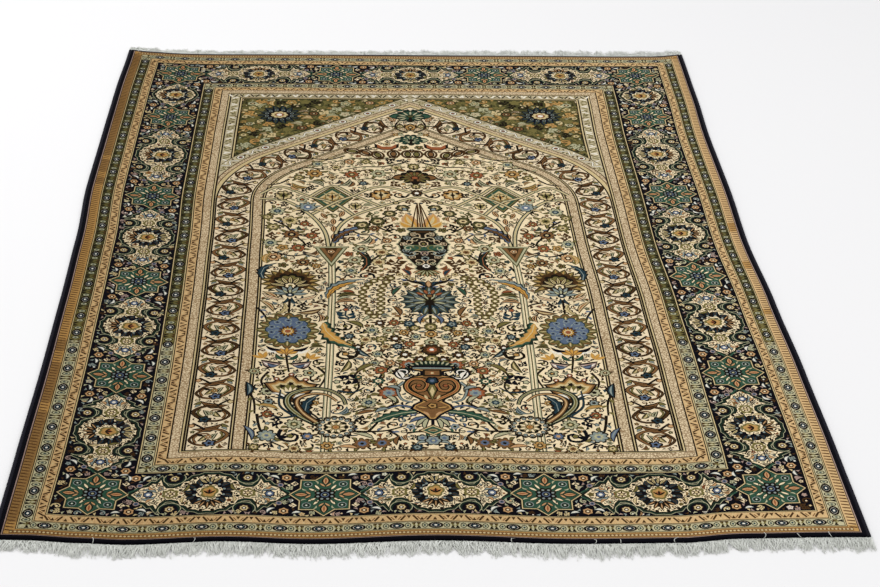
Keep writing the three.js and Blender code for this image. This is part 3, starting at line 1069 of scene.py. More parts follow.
    # The stems: their corners, and the colours of their leaves.
    stems: tuple[tuple[tuple[Point, ...], Dyes], ...] = (
        (((262, -232), (262, -262), (262, -300)), (TEAL, SLATE)),
        (((262, -416), (262, -450), (256, -500)), (OLIVE,)),
        (((249, -575), (240, -606), (205, -640), (186, -676)), (TEAL,)),
        (((150, -688), (112, -692), (78, -690), (46, -676)), (INK, BLUE)),
        (((112, -692), (98, -668), (92, -650)), (MOSS, SAGE)),
        (((78, -690), (62, -706), (56, -724)), (BLUE,)),
        (((46, -700), (20, -696), (0, -702)), (GREEN,)),
        (((0, -298), (0, -330), (0, -370), (0, -420), (0, -476)), (OLIVE,)),
        (((0, -196), (14, -178), (34, -168), (44, -150)), (BLUE,)),
        (((92, -92), (106, -78), (112, -52), (120, -36)), (BLUE,)),
        (((106, -78), (92, -60), (88, -44)), (MOSS, SAGE)),
        (((168, -100), (178, -128), (176, -150)), (TEAL,)),
        (((306, -640), (300, -680), (286, -716), (254, -740)), (TEAL, SLATE)),
        (((330, -560), (314, -596), (310, -640)), (OLIVE,)),
        (((322, -268), (306, -300), (300, -330)), (BLUE,)),
        (((222, -242), (196, -252), (176, -274)), (BROWN,)),
        (((300, -40), (262, -58), (232, -52), (206, -66)), (MOSS, SLATE)),
        (((300, 96), (274, 70), (258, 40), (230, 24)), (INK, BLUE)),
        (((250, 20), (236, -4), (244, -30)), (MOSS, SAGE)),
        (((150, 62), (126, 36), (102, 30), (84, 8)), (BLUE,)),
        (((60, 40), (84, 62), (98, 96)), (OLIVE,)),
        (((72, -480), (90, -508), (96, -540), (84, -566)), (MOSS, SAGE)),
        (((118, -480), (138, -508), (130, -548), (146, -580)), (OLIVE,)),
        (((60, -600), (84, -620), (112, -618), (140, -630)), (OLIVE,)),
        (((206, -480), (190, -510), (200, -548)), (OLIVE,)),
        (((292, -500), (304, -530), (296, -560)), (OLIVE,)),
        (((0, 440), (60, 392), (128, 396), (176, 376)), (OLIVE, SAGE)),
        (((20, 372), (68, 352), (112, 352), (152, 338)), (OLIVE, SAGE)),
        (((40, 300), (66, 282), (96, 292), (128, 286)), (OLIVE, SAGE)),
        (((150, 410), (186, 390), (226, 398)), (OLIVE, STRAW)),
        (((270, 292), (292, 268), (318, 262)), (BROWN, STRAW)),
        (((196, 340), (236, 348), (270, 330)), (OLIVE, SAGE)),
        (((8, 530), (34, 556), (30, 590), (14, 610)), (OLIVE, SAGE)),
    )

    def paint(self, chart: Chart) -> None:
        """Paints the field, large forms first.

        Args:
            chart: The chart that takes the shapes.
        """
        with chart.paired():
            for points, leaf in self.stems:
                chart.vine(points, leaf)
            self._lattice(chart)
            self._column(chart)
            self._arch_head(chart)
            for rows in (self.flowers, self.meadow):
                for x, y, size, dyes in rows:
                    chart.nest(x, y, size, dyes, 5 + round(size / 7), 1.0, x, 0.3)
                    for turn in (x, x + 2.2, x + 4.1):
                        with chart.at(x, y, turn, size):
                            chart.leaf(((INK, OLIVE), (BROWN,))[size < 14], 0.7, 0.1, 1.45, 0.55, 0.46, 0.2)
            for length, width, bend, dyes in chart.each(*self.plumes):
                chart.plume(dyes, length, width, bend)
            for half, width, dyes in chart.each(*self.leaves):
                chart.leaf(dyes, -half, 0, half, 0, width, 0.15)
            self._gold_palmette(chart)
            self._blue_palmette(chart)
            self._lotus(chart)
            self._acanthus(chart)
            self._bead_rosette(chart)
            self._strings(chart)
        self._middle_flowers(chart)
        self._lamp(chart)
        self._middle_palmette(chart)
        self._vase(chart)
        with chart.paired():
            x0, y0, x1, y1 = FIELD_AREA
            chart.strew(CREAM, (x0, -120.0, x1, y1 + 90), (22.0, 17.0, 13.0, 9.5, 6.6),
                        (BROWN, INK, INK, MOSS, BROWN), (OLIVE, SAGE, SALMON, WALNUT, TEAL, GOLD, RUST),
                        8, 0.8)
            chart.strew(CREAM, (x0, y0, x1, -120.0), (22.0, 16.0, 11.5, 8.0, 5.6),
                        (INK, NAVY, TEAL, INK, INK), (SLATE, SALMON, OLIVE, RUST, SAGE, GOLD, WALNUT),
                        9, 0.82)

    # -- over the columns --

    @staticmethod
    def _lattice(chart: Chart) -> None:
        """Paints the pale ribs over the columns and the flowers in their meshes."""
        diamond = ((0, -66), (44, 0), (0, 58), (-44, 0))
        for dye, size in ((INK, 1.0), (OLIVE, 0.92), (GREEN, 0.84), (STRAW, 0.66), (GOLD, 0.5)):
            chart.paint(dye, [(178 + x * size, 199 + y * size) for x, y in diamond])
        for points in (
            ((329, 218), (287, 254), (224, 206), (175, 178), (133, 116)),
            ((224, 208), (178, 258), (136, 216), (77, 158)),
            ((224, 122), (175, 178), (140, 206), (77, 254), (0, 216)),
            ((330, 196), (276, 186), (224, 122), (196, 50), (188, -20)),
            ((0, 204), (70, 164), (133, 120), (168, 66), (180, -20)),
        ):
            line = smooth_line(points)
            chart.stroke((INK,), line, 10.6)
            chart.stroke((SAGE, STRAW), line, 5.6)
        for x, y, size, dyes in ((280, 212, 22, CREAM_BLOOM), (178, 206, 17, (OLIVE, STRAW, GOLD, BROWN)),
                                 (76, 214, 25, (BROWN, GOLD, STRAW, INK)), (131, 162, 16, CREAM_BLOOM)):
            chart.nest(x, y, size, dyes, 9, 1.1)
            for side in (-1, 1):
                chart.nest(x + side * size * 0.45, y + size * 0.3, size * 0.2, (INK,))
            chart.leaf((INK,), x, y - size * 1.1, x, y + size * 0.9, 4)
            for turn in range(4):
                with chart.at(x, y, math.pi * (turn + 0.5) / 2):
                    chart.leaf((MOSS, SAGE), size * 1.05, 0, size * 1.6, 0, size * 0.3)
        with chart.at(229, 158):
            chart.nest(0, 0, 21, (INK, SLATE, BLUE, IVORY), 7)
            chart.fan(0, -4, math.pi / 2, 2.4, 5, 14, 30, 9, (MOSS, SLATE))
            for side in (-1, 1):
                chart.leaf((BROWN, STRAW), side * 8, -10, side * 34, -26, 10, 0.2 * side)
        for _ in chart.each((196, 118, 1.2), (160, 126, 1.9), (178, 92, 1.57), (178, 60, 1.57),
                            (178, 24, 1.57)):
            chart.leaf((BROWN, SALMON, BROWN), -15, 0, 16, 0, 13)

    def _column(self, chart: Chart) -> None:
        """Paints the slender column and its capital."""
        x, top = self.column_x, self.capital_y
        for dye, half in ((INK, 7.4), (SAGE, 5.8), (CREAM, 3.6), (MOSS, 1.2)):
            chart.paint(dye, [(x - half, -INNER_Y), (x + half, -INNER_Y), (x - 4 + half, top - 40),
                              (x - 4 - half, top - 40)])
        x -= 3.0
        for dye, half, low in ((MOSS, 33, 84), (SAGE, 30, 76), (MOSS, 25, 66), (WALNUT, 22, 60),
                               (BROWN, 14, 44)):
            chart.paint(dye, [(x, top - low), (x + half, top - 1), (x - half, top - 1)])
        chart.nest(x, top - 18, 10, TAN_BLOOM, 5)
        chart.box(MOSS, x - 35, top - 3, x + 35, top + 4)
        chart.box(SAGE, x - 33, top - 1, x + 33, top + 2.4)

    @staticmethod
    def _arch_head(chart: Chart) -> None:
        """Paints the buds, crescents and palmettes in the head of the arch."""
        for (dye,) in chart.each((10, 416, 1.57, OLIVE), (42, 417, 1.57, WALNUT), (77, 412, 1.25, OLIVE),
                                 (104, 424, 0.9, WALNUT), (134, 434, 0.5, OLIVE)):
            chart.nest(0, 0, 22, (BROWN, CREAM), stretch=0.7)
            chart.nest(0, 0, 15, (INK, dye), stretch=0.56)
        with chart.at(56, 460):
            crescent = ((-28, 14), (-27, -9), (-12, -22), (12, -22), (27, -9), (28, 14), (13, -4),
                        (-13, -4))
            for dye, size in ((INK, 1.0), (RUST, 0.78)):
                chart.paint(dye, [(x * size, y * size - (1 - size) * 8) for x, y in crescent])
            chart.nest(0, 8, 10, STRAW_BLOOM, 6)

    # -- the large flowers by the wall --

    @staticmethod
    def _gold_palmette(chart: Chart) -> None:
        """Paints the gold palmette that opens upwards."""
        with chart.at(262, -206):
            chart.fan(0, 40, math.pi / 2, 4.2, 13, 16, 60, 19, (BROWN, OLIVE, GOLD))
            chart.nest(0, 44, 42, (BROWN, WALNUT), 13, 0.95, 0.2, 0.14)
            chart.nest(0, 42, 34, (INK, OLIVE, WALNUT), 9, 1.0)
            chart.fan(0, 22, math.pi / 2, 2.6, 7, 8, 42, 11, (INK, STRAW, OLIVE))
            chart.nest(0, 26, 14, (INK, CREAM, OLIVE), 7)
            chart.fan(0, -8, math.pi / 2, 2.9, 7, 0, 36, 13, (INK, SLATE))
            chart.fan(0, -10, math.pi / 2, 1.3, 3, 4, 24, 8, (INK, SAGE))
            chart.nest(0, -10, 9, (INK, TEAL, IVORY))
            for side in (-1, 1):
                chart.leaf((BROWN, CREAM, RUST), side * 8, -28, side * 54, -4, 13, -0.15 * side)
                chart.leaf((INK, TEAL), side * 4, -18, side * 18, -46, 8, -0.2 * side)

    @staticmethod
    def _blue_palmette(chart: Chart) -> None:
        """Paints the big blue palmette."""
        with chart.at(262, -352):
            chart.nest(0, 0, 58, (MOSS,), 16, 1.17, math.pi / 16, 0.16)
            chart.nest(0, 0, 54, (WALNUT,), 16, 1.17, math.pi / 16, 0.16)
            chart.nest(0, 0, 49, (OLIVE,), 16, 1.17, math.pi / 16, 0.12)
            chart.fan(0, 0, math.pi / 16, math.tau * 15 / 16, 16, 36, 60, 12, (MOSS, OLIVE, STRAW))
            chart.nest(0, 2, 43, (TEAL,), 10, 1.2, math.pi / 10, 0.2)
            chart.nest(0, 2, 40.5, (BLUE,), 10, 1.2, math.pi / 10, 0.2)
            for petal in range(10):
                with chart.at(0, 2, math.pi / 10 + math.tau * petal / 10):
                    reach = 30 + 5 * abs(math.sin(math.pi / 10 + math.tau * petal / 10))
                    chart.nest(reach, 0, 7.6, (SLATE, BLUE, NAVY), 5)
                    chart.leaf((SLATE,), 16, 3.4, reach - 6, 5.5, 3.2)
            chart.nest(0, -3, 18, (BROWN, OCHRE), 12, 1.15, 0.2, 0.36)
            chart.nest(0, -3, 9.5, (STRAW, RUST), 8, 1.1)
            for side in (-1, 1):
                chart.leaf((IVORY,), side * 6, -76, side * 42, -66, 8, -0.22 * side)
                chart.leaf((NAVY,), side * 4, -70, side * 40, -56, 10, -0.22 * side)
            chart.leaf((BROWN, GOLD), 0, -62, 0, -92, 14)

    @staticmethod
    def _lotus(chart: Chart) -> None:
        """Paints the lotus palmette, the gold bud over it and its curled petals."""
        edge = ((0, 0), (16, 9), (34, 26), (46, 50), (30, 54), (24, 62), (14, 60), (8, 70), (0, 80))
        outline = list(edge) + [(-x, y) for x, y in edge[::-1][1:-1]]
        with chart.at(251, -590):
            chart.layered(outline, (INK, 3.0), (WALNUT, -0.6), (GOLD, -4.0), (STRAW, -8.0), (OLIVE, -13.0))
            chart.fan(0, 8, math.pi / 2, 1.2, 5, 2, 34, 6, (CREAM,))
            for side in (-1, 0, 1):
                chart.nest(side * 15, 42 + 9 * (side == 0), 7.6, (INK,), 3, 1.0, math.pi / 6, 0.5)
                chart.nest(side * 26, 66 + 16 * (side == 0), 6.4, (INK, RUST, IVORY))
            for side in (-1, 1):
                chart.leaf((INK, IVORY), side * 4, -2, side * 40, 16, 9, 0.25 * side)
                chart.leaf((INK, TEAL), side * 2, -8, side * 30, 2, 8, 0.25 * side)
            chart.nest(0, -2, 9, (INK, BROWN))
        with chart.at(262, -446):
            chart.fan(0, 8, math.pi / 2, 2.2, 5, 2, 24, 10, (WALNUT, OCHRE))
            for side in (-1, 1):
                chart.leaf((INK, GREEN), 0, -12, side * 20, 10, 10, -0.2 * side)
                chart.leaf((INK, ROSE, IVORY), side * 6, -24, side * 46, -14, 26, -0.3 * side)
                chart.leaf((NAVY, BLUE), side * 12, -32, side * 34, -24, 13, -0.3 * side)
                chart.fan(side * 40, -10, math.pi / 2 - side * 0.5, 1.2, 3, 2, 26, 9, (GOLD, OCHRE))

    @staticmethod
    def _acanthus(chart: Chart) -> None:
        """Paints the long curled leaf that climbs over the foot of the column."""
        outer = smooth_line([(196, -668), (232, -640), (254, -606), (250, -574), (218, -554), (184, -558),
                             (160, -580), (152, -606)], 5)
        chart.stroke((INK,), outer, 18.0, 8.0)
        chart.stroke((DEEP_GREEN,), outer, 13.0, 5.0)
        chart.stroke((SAGE, OLIVE), outer, 8.0, 3.0)
        inner = smooth_line([(202, -660), (226, -632), (238, -602), (232, -582), (210, -570), (186, -574),
                             (168, -594)], 5)
        chart.stroke((INK, WALNUT, TAN), inner, 15.0, 6.0)
        for points in (((168, -560), (140, -566), (120, -550)), ((244, -640), (268, -610), (268, -560)),
                       ((196, -668), (160, -700), (130, -702)), ((236, -640), (262, -650), (284, -640))):
            chart.curve((INK, TEAL), points, 7.0, 3.0)

    @staticmethod
    def _bead_rosette(chart: Chart) -> None:
        """Paints the beaded rosette at the foot of the column."""
        with chart.at(168, -676):
            chart.nest(0, 0, 38, (INK,), 15, 0.95, 0, 0.14)
            chart.nest(0, 0, 33, (CREAM,), 15, 0.95, 0, 0.16)
            chart.wreath(0, 0, 28, 15, 4.8, (NAVY, SLATE), stretch=0.95)
            chart.nest(0, 0, 22.5, (INK, STRAW), 9, 0.95, 0, 0.14)
            chart.fan(0, 0, 0, math.tau * 7 / 8, 8, 5, 20, 8, (MOSS, CREAM))
            chart.nest(0, 0, 8.6, (BROWN, GOLD, RUST), 8)

    @staticmethod
    def _strings(chart: Chart) -> None:
        """Paints the drop-shaped figure of small rings, and the ring flowers under the middle arch."""
        for string in (
            ((66, -146), (92, -154), (112, -172), (124, -198), (127, -226), (124, -254), (117, -280),
             (100, -308)),
            ((66, -146), (78, -164), (88, -186), (92, -212), (92, -240), (92, -268), (94, -296)),
        ):
            line = smooth_line(string)
            chart.stroke((BROWN,), line, 5.0)
            for x, y, _ in Route(np.array(line)).stations(17.0):
                chart.nest(x, y, 10.4, (BROWN, OLIVE, CREAM), 6, 1.0)
        for x, y in ((54, -138), (40, -146), (30, -158)):
            chart.nest(x, y, 8.6, RING_EYE, 6)
        chart.curve((INK,), [(16, 166), (48, 140), (76, 108), (104, 84), (134, 70)], 4.0, steps=3)
        for x, y, size in ((34, 152, 16), (62, 126, 16), (88, 92, 19), (120, 76, 18), (46, 176, 9)):
            chart.nest(x, y, size, (INK, MOSS, STRAW, BROWN), 6, 1.0, 0.4, 0.2)
        for x, y in ((24, 96), (24, 122), (30, 146)):
            chart.nest(x, y, 8, (NAVY, SLATE), 5)

    # -- on the middle line --

    @staticmethod
    def _middle_flowers(chart: Chart) -> None:
        """Paints the palmettes on the middle line over the lamp."""
        for y, size, dyes in (
            (626, 34, (DEEP_GREEN, GREEN, SAGE, MOSS)), (492, 28, (DEEP_GREEN, SAGE, GREEN, INK)),
            (300, 34, (INK, WALNUT, OLIVE, RUST)), (352, 15, OLIVE_BLOOM), (560, 15, GOLD_BLOOM),
            (222, 14, DARK_EYE), (254, 12, OLIVE_BLOOM),
        ):
            if size > 20:
                for side in (-1, 1):
                    chart.leaf(dyes[:2], side * size * 0.4, y, side * size * 1.5, y - size * 0.1, size)
                chart.nest(0, y, size, dyes[:2], 9, 1.1, math.pi / 2)
                chart.fan(0, y - size * 0.2, math.pi / 2, 4.4, 9, size * 0.25, size, size * 0.26,
                          (dyes[0], dyes[2]))
                chart.nest(0, y - size * 0.1, size * 0.32, (dyes[0], dyes[3]), 6)
            else:
                chart.nest(0, y, size, dyes, 9, 1.18, math.pi / 2)
            chart.leaf((INK,), 0, y - size * 1.1, 0, y - size * 0.2, size * 0.3)
            with chart.at(0, y, math.pi / 2):
                for side in (-1, 1):
                    chart.leaf(dyes[:2], size * 0.8, side * size * 0.5, size * 1.2, side * size * 1.1,
                               size * 0.4)

    @staticmethod
    def _lamp(chart: Chart) -> None:
        """Paints the hanging lamp and its flame."""
        with chart.paired():
            chart.leaf((SALMON, OCHRE, STRAW), 4, 56, 28, 128, 34, -0.1)
            chart.leaf((STRAW, OCHRE), 10, 60, 44, 92, 20, -0.16)
            for foot, head in ((2, 2), (8, 5), (20, 10)):
                chart.curve((BROWN,), [(foot, 62), (head, 130), (2, 176)], 3.4, 2.2, steps=3)
        # Height, half width: the outline of the lamp from its rim down to its foot.
        profile = ((62, 26), (56, 32), (48, 26), (40, 20), (28, 28), (12, 44), (-12, 50), (-36, 46),
                   (-60, 38), (-86, 27), (-106, 18), (-116, 22), (-126, 10))
        outline = [(x, y) for y, x in profile[::-1]] + [(-x, y) for y, x in profile]
        lobes = ((34, 18, 12), (16, 32, 13), (-10, 40, 13), (-38, 36, 13), (-66, 25, 12), (-94, 14, 10))
        for dye, by in ((SAGE, 2.4), (INK, 0.0)):
            with chart.paired():
                for y, x, size in lobes:
                    chart.nest(x, y, size + by, (dye,), 6, 1.0, y, 0.26)
            chart.paint(dye, grown(outline, by))
        chart.box(SLATE, -27, 51, 27, 56)
        chart.box(BROWN, -18, 40, 18, 46)
        chart.paint(GREEN, [(-38, -38), (38, -38), (42, -14), (-42, -14)])
        with chart.paired():
            for (y, x, size), dye in zip(lobes, (SAND, SLATE, STONE, SLATE, STONE, SAGE)):
                chart.nest(x, y, size * 0.66, (dye, INK, dye), 5, 1.0, y)
            scroll = smooth_line([(-12, -7), (-8, 5), (2, 8), (9, 2), (5, -5), (-2, -2)], 3)
            for dyes in chart.each((15, 28, 0.4, STONE), (14, 10, -0.7, SAND), (30, -2, 2.2, STONE),
                                   (16, -26, 1.2, OLIVE), (30, -27, -1.2, SAGE), (14, -50, 0.2, SAND),
                                   (27, -52, 2.6, SLATE), (12, -86, 0.9, STONE)):
                chart.stroke(dyes, scroll, 3.4, 2.2)
            chart.fan(0, -118, -0.9, 0.9, 3, 6, 32, 10, (BROWN, SALMON))
        chart.nest(0, -10, 11, (STONE, INK, OLIVE), 8, 1.3)
        chart.nest(0, -50, 9, (ROSE, NAVY, STONE), 8)
        chart.nest(0, -72, 9, (SLATE, NAVY), 6)
        chart.nest(0, -104, 11, (NAVY, IVORY, NAVY), 8)
        chart.fan(0, -118, -math.pi / 2, 1.8, 5, 2, 32, 10, (INK, OLIVE, SAGE))

    @staticmethod
    def _middle_palmette(chart: Chart) -> None:
        """Paints the blue palmette between the two drop-shaped figures."""
        with chart.at(0, -242):
            chart.nest(0, 0, 50, (INK, TEAL), 15, 1.08, math.pi / 2, 0.24)
            chart.fan(0, 0, math.pi / 2, math.tau * 14 / 15, 15, 14, 60, 19, (TEAL, MOSS, SLATE))
            chart.nest(0, 0, 32, (TEAL, INK), 13, 1.1, math.pi / 2, 0.24)
            chart.fan(0, -4, math.pi / 2, 4.6, 11, 8, 42, 11, (INK, SLATE, TEAL))
            chart.fan(0, -4, math.pi / 2, 3.6, 6, 6, 34, 8, (MOSS, SAGE))
            chart.fan(0, 10, math.pi / 2, 1.7, 4, 14, 34, 10, (BROWN, RUST))
            chart.stroke((INK,), [(0, -52), (0, 20)], 7.0, 4.0)
            chart.nest(0, 18, 8, (INK, WALNUT))
            for side in (-1, 1):
                chart.leaf((NAVY, BLUE), side * 2, -52, side * 18, -92, 11, 0.25 * side)
                chart.leaf((INK, TEAL), side * 3, 50, side * 24, 76, 12, 0.2 * side)
                chart.curve((INK,), [(side * 14, 66), (side * 36, 78), (side * 58, 74)], 6.0, 3.0, steps=3)
            chart.leaf((BROWN, SALMON), 0, 50, 0, 80, 14)
        for y, size, dyes in ((-342, 14, OLIVE_BLOOM), (-368, 14, GOLD_BLOOM), (-398, 15, SAGE_BLOOM),
                              (-424, 21, (INK, BROWN, RUST, IVORY)), (-456, 15, OLIVE_BLOOM)):
            chart.nest(0, y, size, dyes, 8)

    @staticmethod
    def _vase(chart: Chart) -> None:
        """Paints the vase and the small flowers under its foot."""
        with chart.paired():
            # Its dotted crown.
            chart.curve((DEEP_GREEN,), [(0, -473), (26, -475), (42, -486), (50, -506)], 20.0, 9.0)
            for _ in chart.each((3, -470, 1.5), (11, -470, 1.4), (19, -471, 1.25), (27, -474, 1.05),
                                (35, -479, 0.8), (41, -486, 0.5)):
                chart.leaf((SAGE,), -5, 0, 7, 0, 4.2)
            handle = [(38, -520), (54, -522), (64, -508), (58, -494), (46, -496), (46, -506), (52, -508)]
            chart.curve((NAVY,), handle, 11.0, 8.0, steps=3)
            chart.curve((IVORY,), handle, 3.8, 2.4, steps=3)
            # The two sprays from the shoulder and the foot.
            chart.curve((NAVY, SLATE), [(50, -534), (62, -556), (54, -592), (34, -602)], 8.0, 5.0)
            chart.curve((NAVY, BLUE), [(34, -620), (58, -612), (82, -622)], 8.0, 5.0)
            for (dyes,) in chart.each((56, -520, 1.2, (INK, IVORY)), (78, -624, -0.4, (NAVY, SLATE)),
                                      (68, -600, 0.9, (INK, SAGE)), (60, -560, 0.4, (INK, SLATE)),
                                      (36, -500, 1.1, (NAVY, IVORY))):
                chart.leaf(dyes, -6, 0, 26, 0, 13, 0.2)
            for (dye,) in chart.each((4, -648, -0.5, BLUE), (4, -648, -0.95, SAGE), (4, -648, -1.35, SAGE)):
                chart.leaf((NAVY, dye), 2, 0, 44, 0, 12, 0.12)
        # Height, half width: the outline of the vase from its lip down to its foot.
        profile = ((-484, 40), (-492, 36), (-498, 17), (-514, 17), (-518, 32), (-530, 44), (-546, 48),
                   (-562, 44), (-578, 34), (-590, 20), (-600, 16), (-612, 30), (-622, 34), (-632, 22),
                   (-642, 12), (-656, 4))
        outline = [(x, y) for y, x in profile[::-1]] + [(-x, y) for y, x in profile]
        chart.layered(outline, (NAVY, 4.8), (GOLD, 0.0), (WALNUT, -3.0))
        chart.box(INK, -38, -492, 38, -484)
        chart.box(SLATE, -35, -490.5, 35, -486)
        chart.box(INK, -17, -516, 17, -494)
        chart.box(WALNUT, -13, -512, 13, -497)
        chart.nest(0, -505, 5.4, (RUST, STRAW), 5)
        with chart.paired():
            volute = [(6, -596), (24, -582), (42, -564), (46, -544), (36, -526), (18, -526), (8, -542),
                      (14, -562), (28, -564), (34, -550), (24, -542)]
            chart.curve((INK,), volute, 14.0, 10.0)
            chart.curve((GOLD, RUST), volute, 6.6, 4.6)
            chart.nest(24, -547, 6, (INK, RUST))
            chart.leaf((INK, GOLD), 6, -622, 30, -616, 9)
            chart.leaf((STRAW,), 8, -594, 14, -578, 5)
            chart.leaf((SALMON,), 5, -646, 16, -632, 6)
        for x, dye in ((11, INK), (7.6, OLIVE)):
            chart.paint(dye, [(0, -590 - x * 0.6), (x, -560), (0, -534), (-x, -560)])
        chart.paint(STRAW, [(0, -584), (4.4, -566), (0, -550), (-4.4, -566)])
        chart.nest(0, -531, 13, (NAVY, TEAL, BLUE), 4, 1.1, math.pi / 2)
        chart.nest(0, -614, 11, (INK, GOLD, BROWN), 5)
        chart.stroke((NAVY,), [(0, -656), (0, -690)], 6.0)
        for dye, size in ((BROWN, 1.0), (STRAW, 0.84), (GREEN, 0.68)):
            across, along = 26 * size, 18 * size
            chart.paint(dye, [(-across, -692), (0, -692 - along), (across, -692), (0, -692 + along)])
        chart.leaf((STRAW, BROWN), -9, -692, 9, -692, 8)
        with chart.paired():
            chart.nest(19, -716, 12, (INK, SLATE, BLUE), 6)
            chart.leaf((INK, SLATE), 4, -732, 32, -738, 10, 0.3)
        chart.nest(0, -724, 16, (INK, SLATE, BLUE, SAGE), 6, 1.0, math.pi / 2, 0.24)


# ---- From the drawing to the rug ---------------------------------------------------------------


PILE_HALF_X = 691.7  # the knotted part, inside the cords
PILE_HALF_Y = 1000.0


def ripple(x: float, y: float) -> float:
    """How far the rug's face stands proud of a flat one, in millimetres."""
    return (
        0.7 * math.sin(x / 171 + 1.3) * math.sin(y / 237 + 0.4)
        + 0.5 * math.sin(x / 83 - y / 119)
        + 0.9 * math.exp(-((abs(x) - 640) / 55) ** 2) * math.sin(y / 131 + x / 300)
    )


def drift(x: np.ndarray, y: np.ndarray) -> np.ndarray:
    """How far the weave has wandered sideways, in millimetres: most in the middle, none at the edges."""
    along = np.clip((y + 120) / 680, -1, 1)
    across = np.clip((x - 110) / 500, -1, 1)
    belly = 16 * (np.cos(math.pi / 2 * along) * np.cos(math.pi / 2 * across)) ** 2
    slip = 5 * np.clip((y + 1000) / 250, 0.25, 1) * np.clip((690 - np.abs(x)) / 80, 0, 1)
    return belly + slip


class Outline:
    """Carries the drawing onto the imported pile, whose four edges wander."""

    def __init__(self) -> None:
        """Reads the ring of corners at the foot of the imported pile."""
        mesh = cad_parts["woven_pile"].data
        corners = {(round(v.co.x / MM, 3), round(v.co.y / MM, 3)) for v in mesh.vertices if v.co.z < MM}
        low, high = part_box("woven_pile")
        self.top = high.z / MM
        middle = (low + high) / 2 / MM
        around = sorted(corners, key=lambda p: math.atan2(p[1] - middle.y, p[0] - middle.x))
        reach = [abs(x - middle.x) / PILE_HALF_X + abs(y - middle.y) / PILE_HALF_Y for x, y in around]
        quarters = {}
        for index in sorted(range(len(around)), key=lambda i: -reach[i]):
            x, y = around[index]
            quarters.setdefault((x > middle.x, y > middle.y), index)
        ring = np.array(around)
        sw, se = quarters[(False, False)], quarters[(True, False)]
        ne, nw = quarters[(True, True)], quarters[(False, True)]

        def edge(start: int, end: int, along: int) -> tuple[np.ndarray, np.ndarray]:
            count = (end - start) % len(ring)
            points = ring[[(start + i) % len(ring) for i in range(count + 1)]]
            points = points[np.argsort(points[:, along])]
            share = (points[:, along] - points[0, along]) / (points[-1, along] - points[0, along])
            return share, points

        self.front = edge(sw, se, 0)
        self.right = edge(se, ne, 1)
        self.back = edge(ne, nw, 0)
        self.left = edge(nw, sw, 1)

    @staticmethod
    def _on(edge: tuple[np.ndarray, np.ndarray], share: np.ndarray) -> np.ndarray:
        """Points at some shares of an edge, going straight on past its ends."""
        marks, points = edge
        inside = np.clip(share, 0.0, 1.0)
        found = np.column_stack([np.interp(inside, marks, points[:, axis]) for axis in (0, 1)])
        return found + (share - inside)[:, None] * (points[-1] - points[0])

    def place(self, drawn: np.ndarray) -> np.ndarray:
        """Moves points of the drawing to their places on the rug.

        Args:
            drawn: Rows of x and y in the drawing's millimetres.

        Returns:
            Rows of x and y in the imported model's millimetres.
        """
        s = (drawn[:, 0] + drift(drawn[:, 0], drawn[:, 1]) + PILE_HALF_X) / (2 * PILE_HALF_X)
        t = (drawn[:, 1] + PILE_HALF_Y) / (2 * PILE_HALF_Y)
        front, back = self._on(self.front, s), self._on(self.back, s)
        left, right = self._on(self.left, t), self._on(self.right, t)
        s, t = s[:, None], t[:, None]
        corners = (
            (1 - s) * (1 - t) * self.front[1][0] + s * (1 - t) * self.front[1][-1]
            + (1 - s) * t * self.back[1][0] + s * t * self.back[1][-1]
        )
        return (1 - t) * front + t * back + (1 - s) * left + s * right - corners


def new_piece(
    name: str, points: np.ndarray, faces: list, material: bpy.types.Material | None, slot: str,
    *replaced: str
) -> bpy.types.Object:
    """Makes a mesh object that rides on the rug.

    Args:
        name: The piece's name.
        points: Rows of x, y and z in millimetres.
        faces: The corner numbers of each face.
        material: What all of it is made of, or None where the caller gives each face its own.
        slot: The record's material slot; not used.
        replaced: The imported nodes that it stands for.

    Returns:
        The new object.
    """
    mesh = bpy.data.meshes.new(name)
    mesh.from_pydata((np.asarray(points) * MM).tolist(), [], faces)
    if material:
        mesh.materials.append(material)
    piece = bpy.data.objects.new(name, mesh)
    bpy.context.scene.collection.objects.link(piece)
    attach(piece, "root")
    if replaced:
        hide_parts(*replaced)
    return piece


def slab_faces(rows: int, row: int, turn: int = 1) -> list[tuple[int, ...]]:
    """Numbers the faces of a closed slab whose corners lie in rows, its top before its foot.

    Args:
        rows: How many rows.
        row: How many corners each row has.
        turn: 1, or -1 where the rows run against y.

    Returns:
        The corner numbers of each face.
    """
    count = rows * row
    faces = []
    for a in (j * row + i for j in range(rows - 1) for i in range(row - 1)):
        quad = (a, a + 1, a + row + 1, a + row)
        faces.append(quad[::turn])
        faces.append(tuple(corner + count for corner in quad)[::-turn])
    rim = [*range(row), *range(2 * row - 1, count, row), *range(count - 2, count - row - 1, -1),
           *range(count - 2 * row, 0, -row)]
    for a, b in zip(rim, rim[1:] + rim[:1]):
        faces.append((a, a + count, b + count, b)[::turn])
    return faces


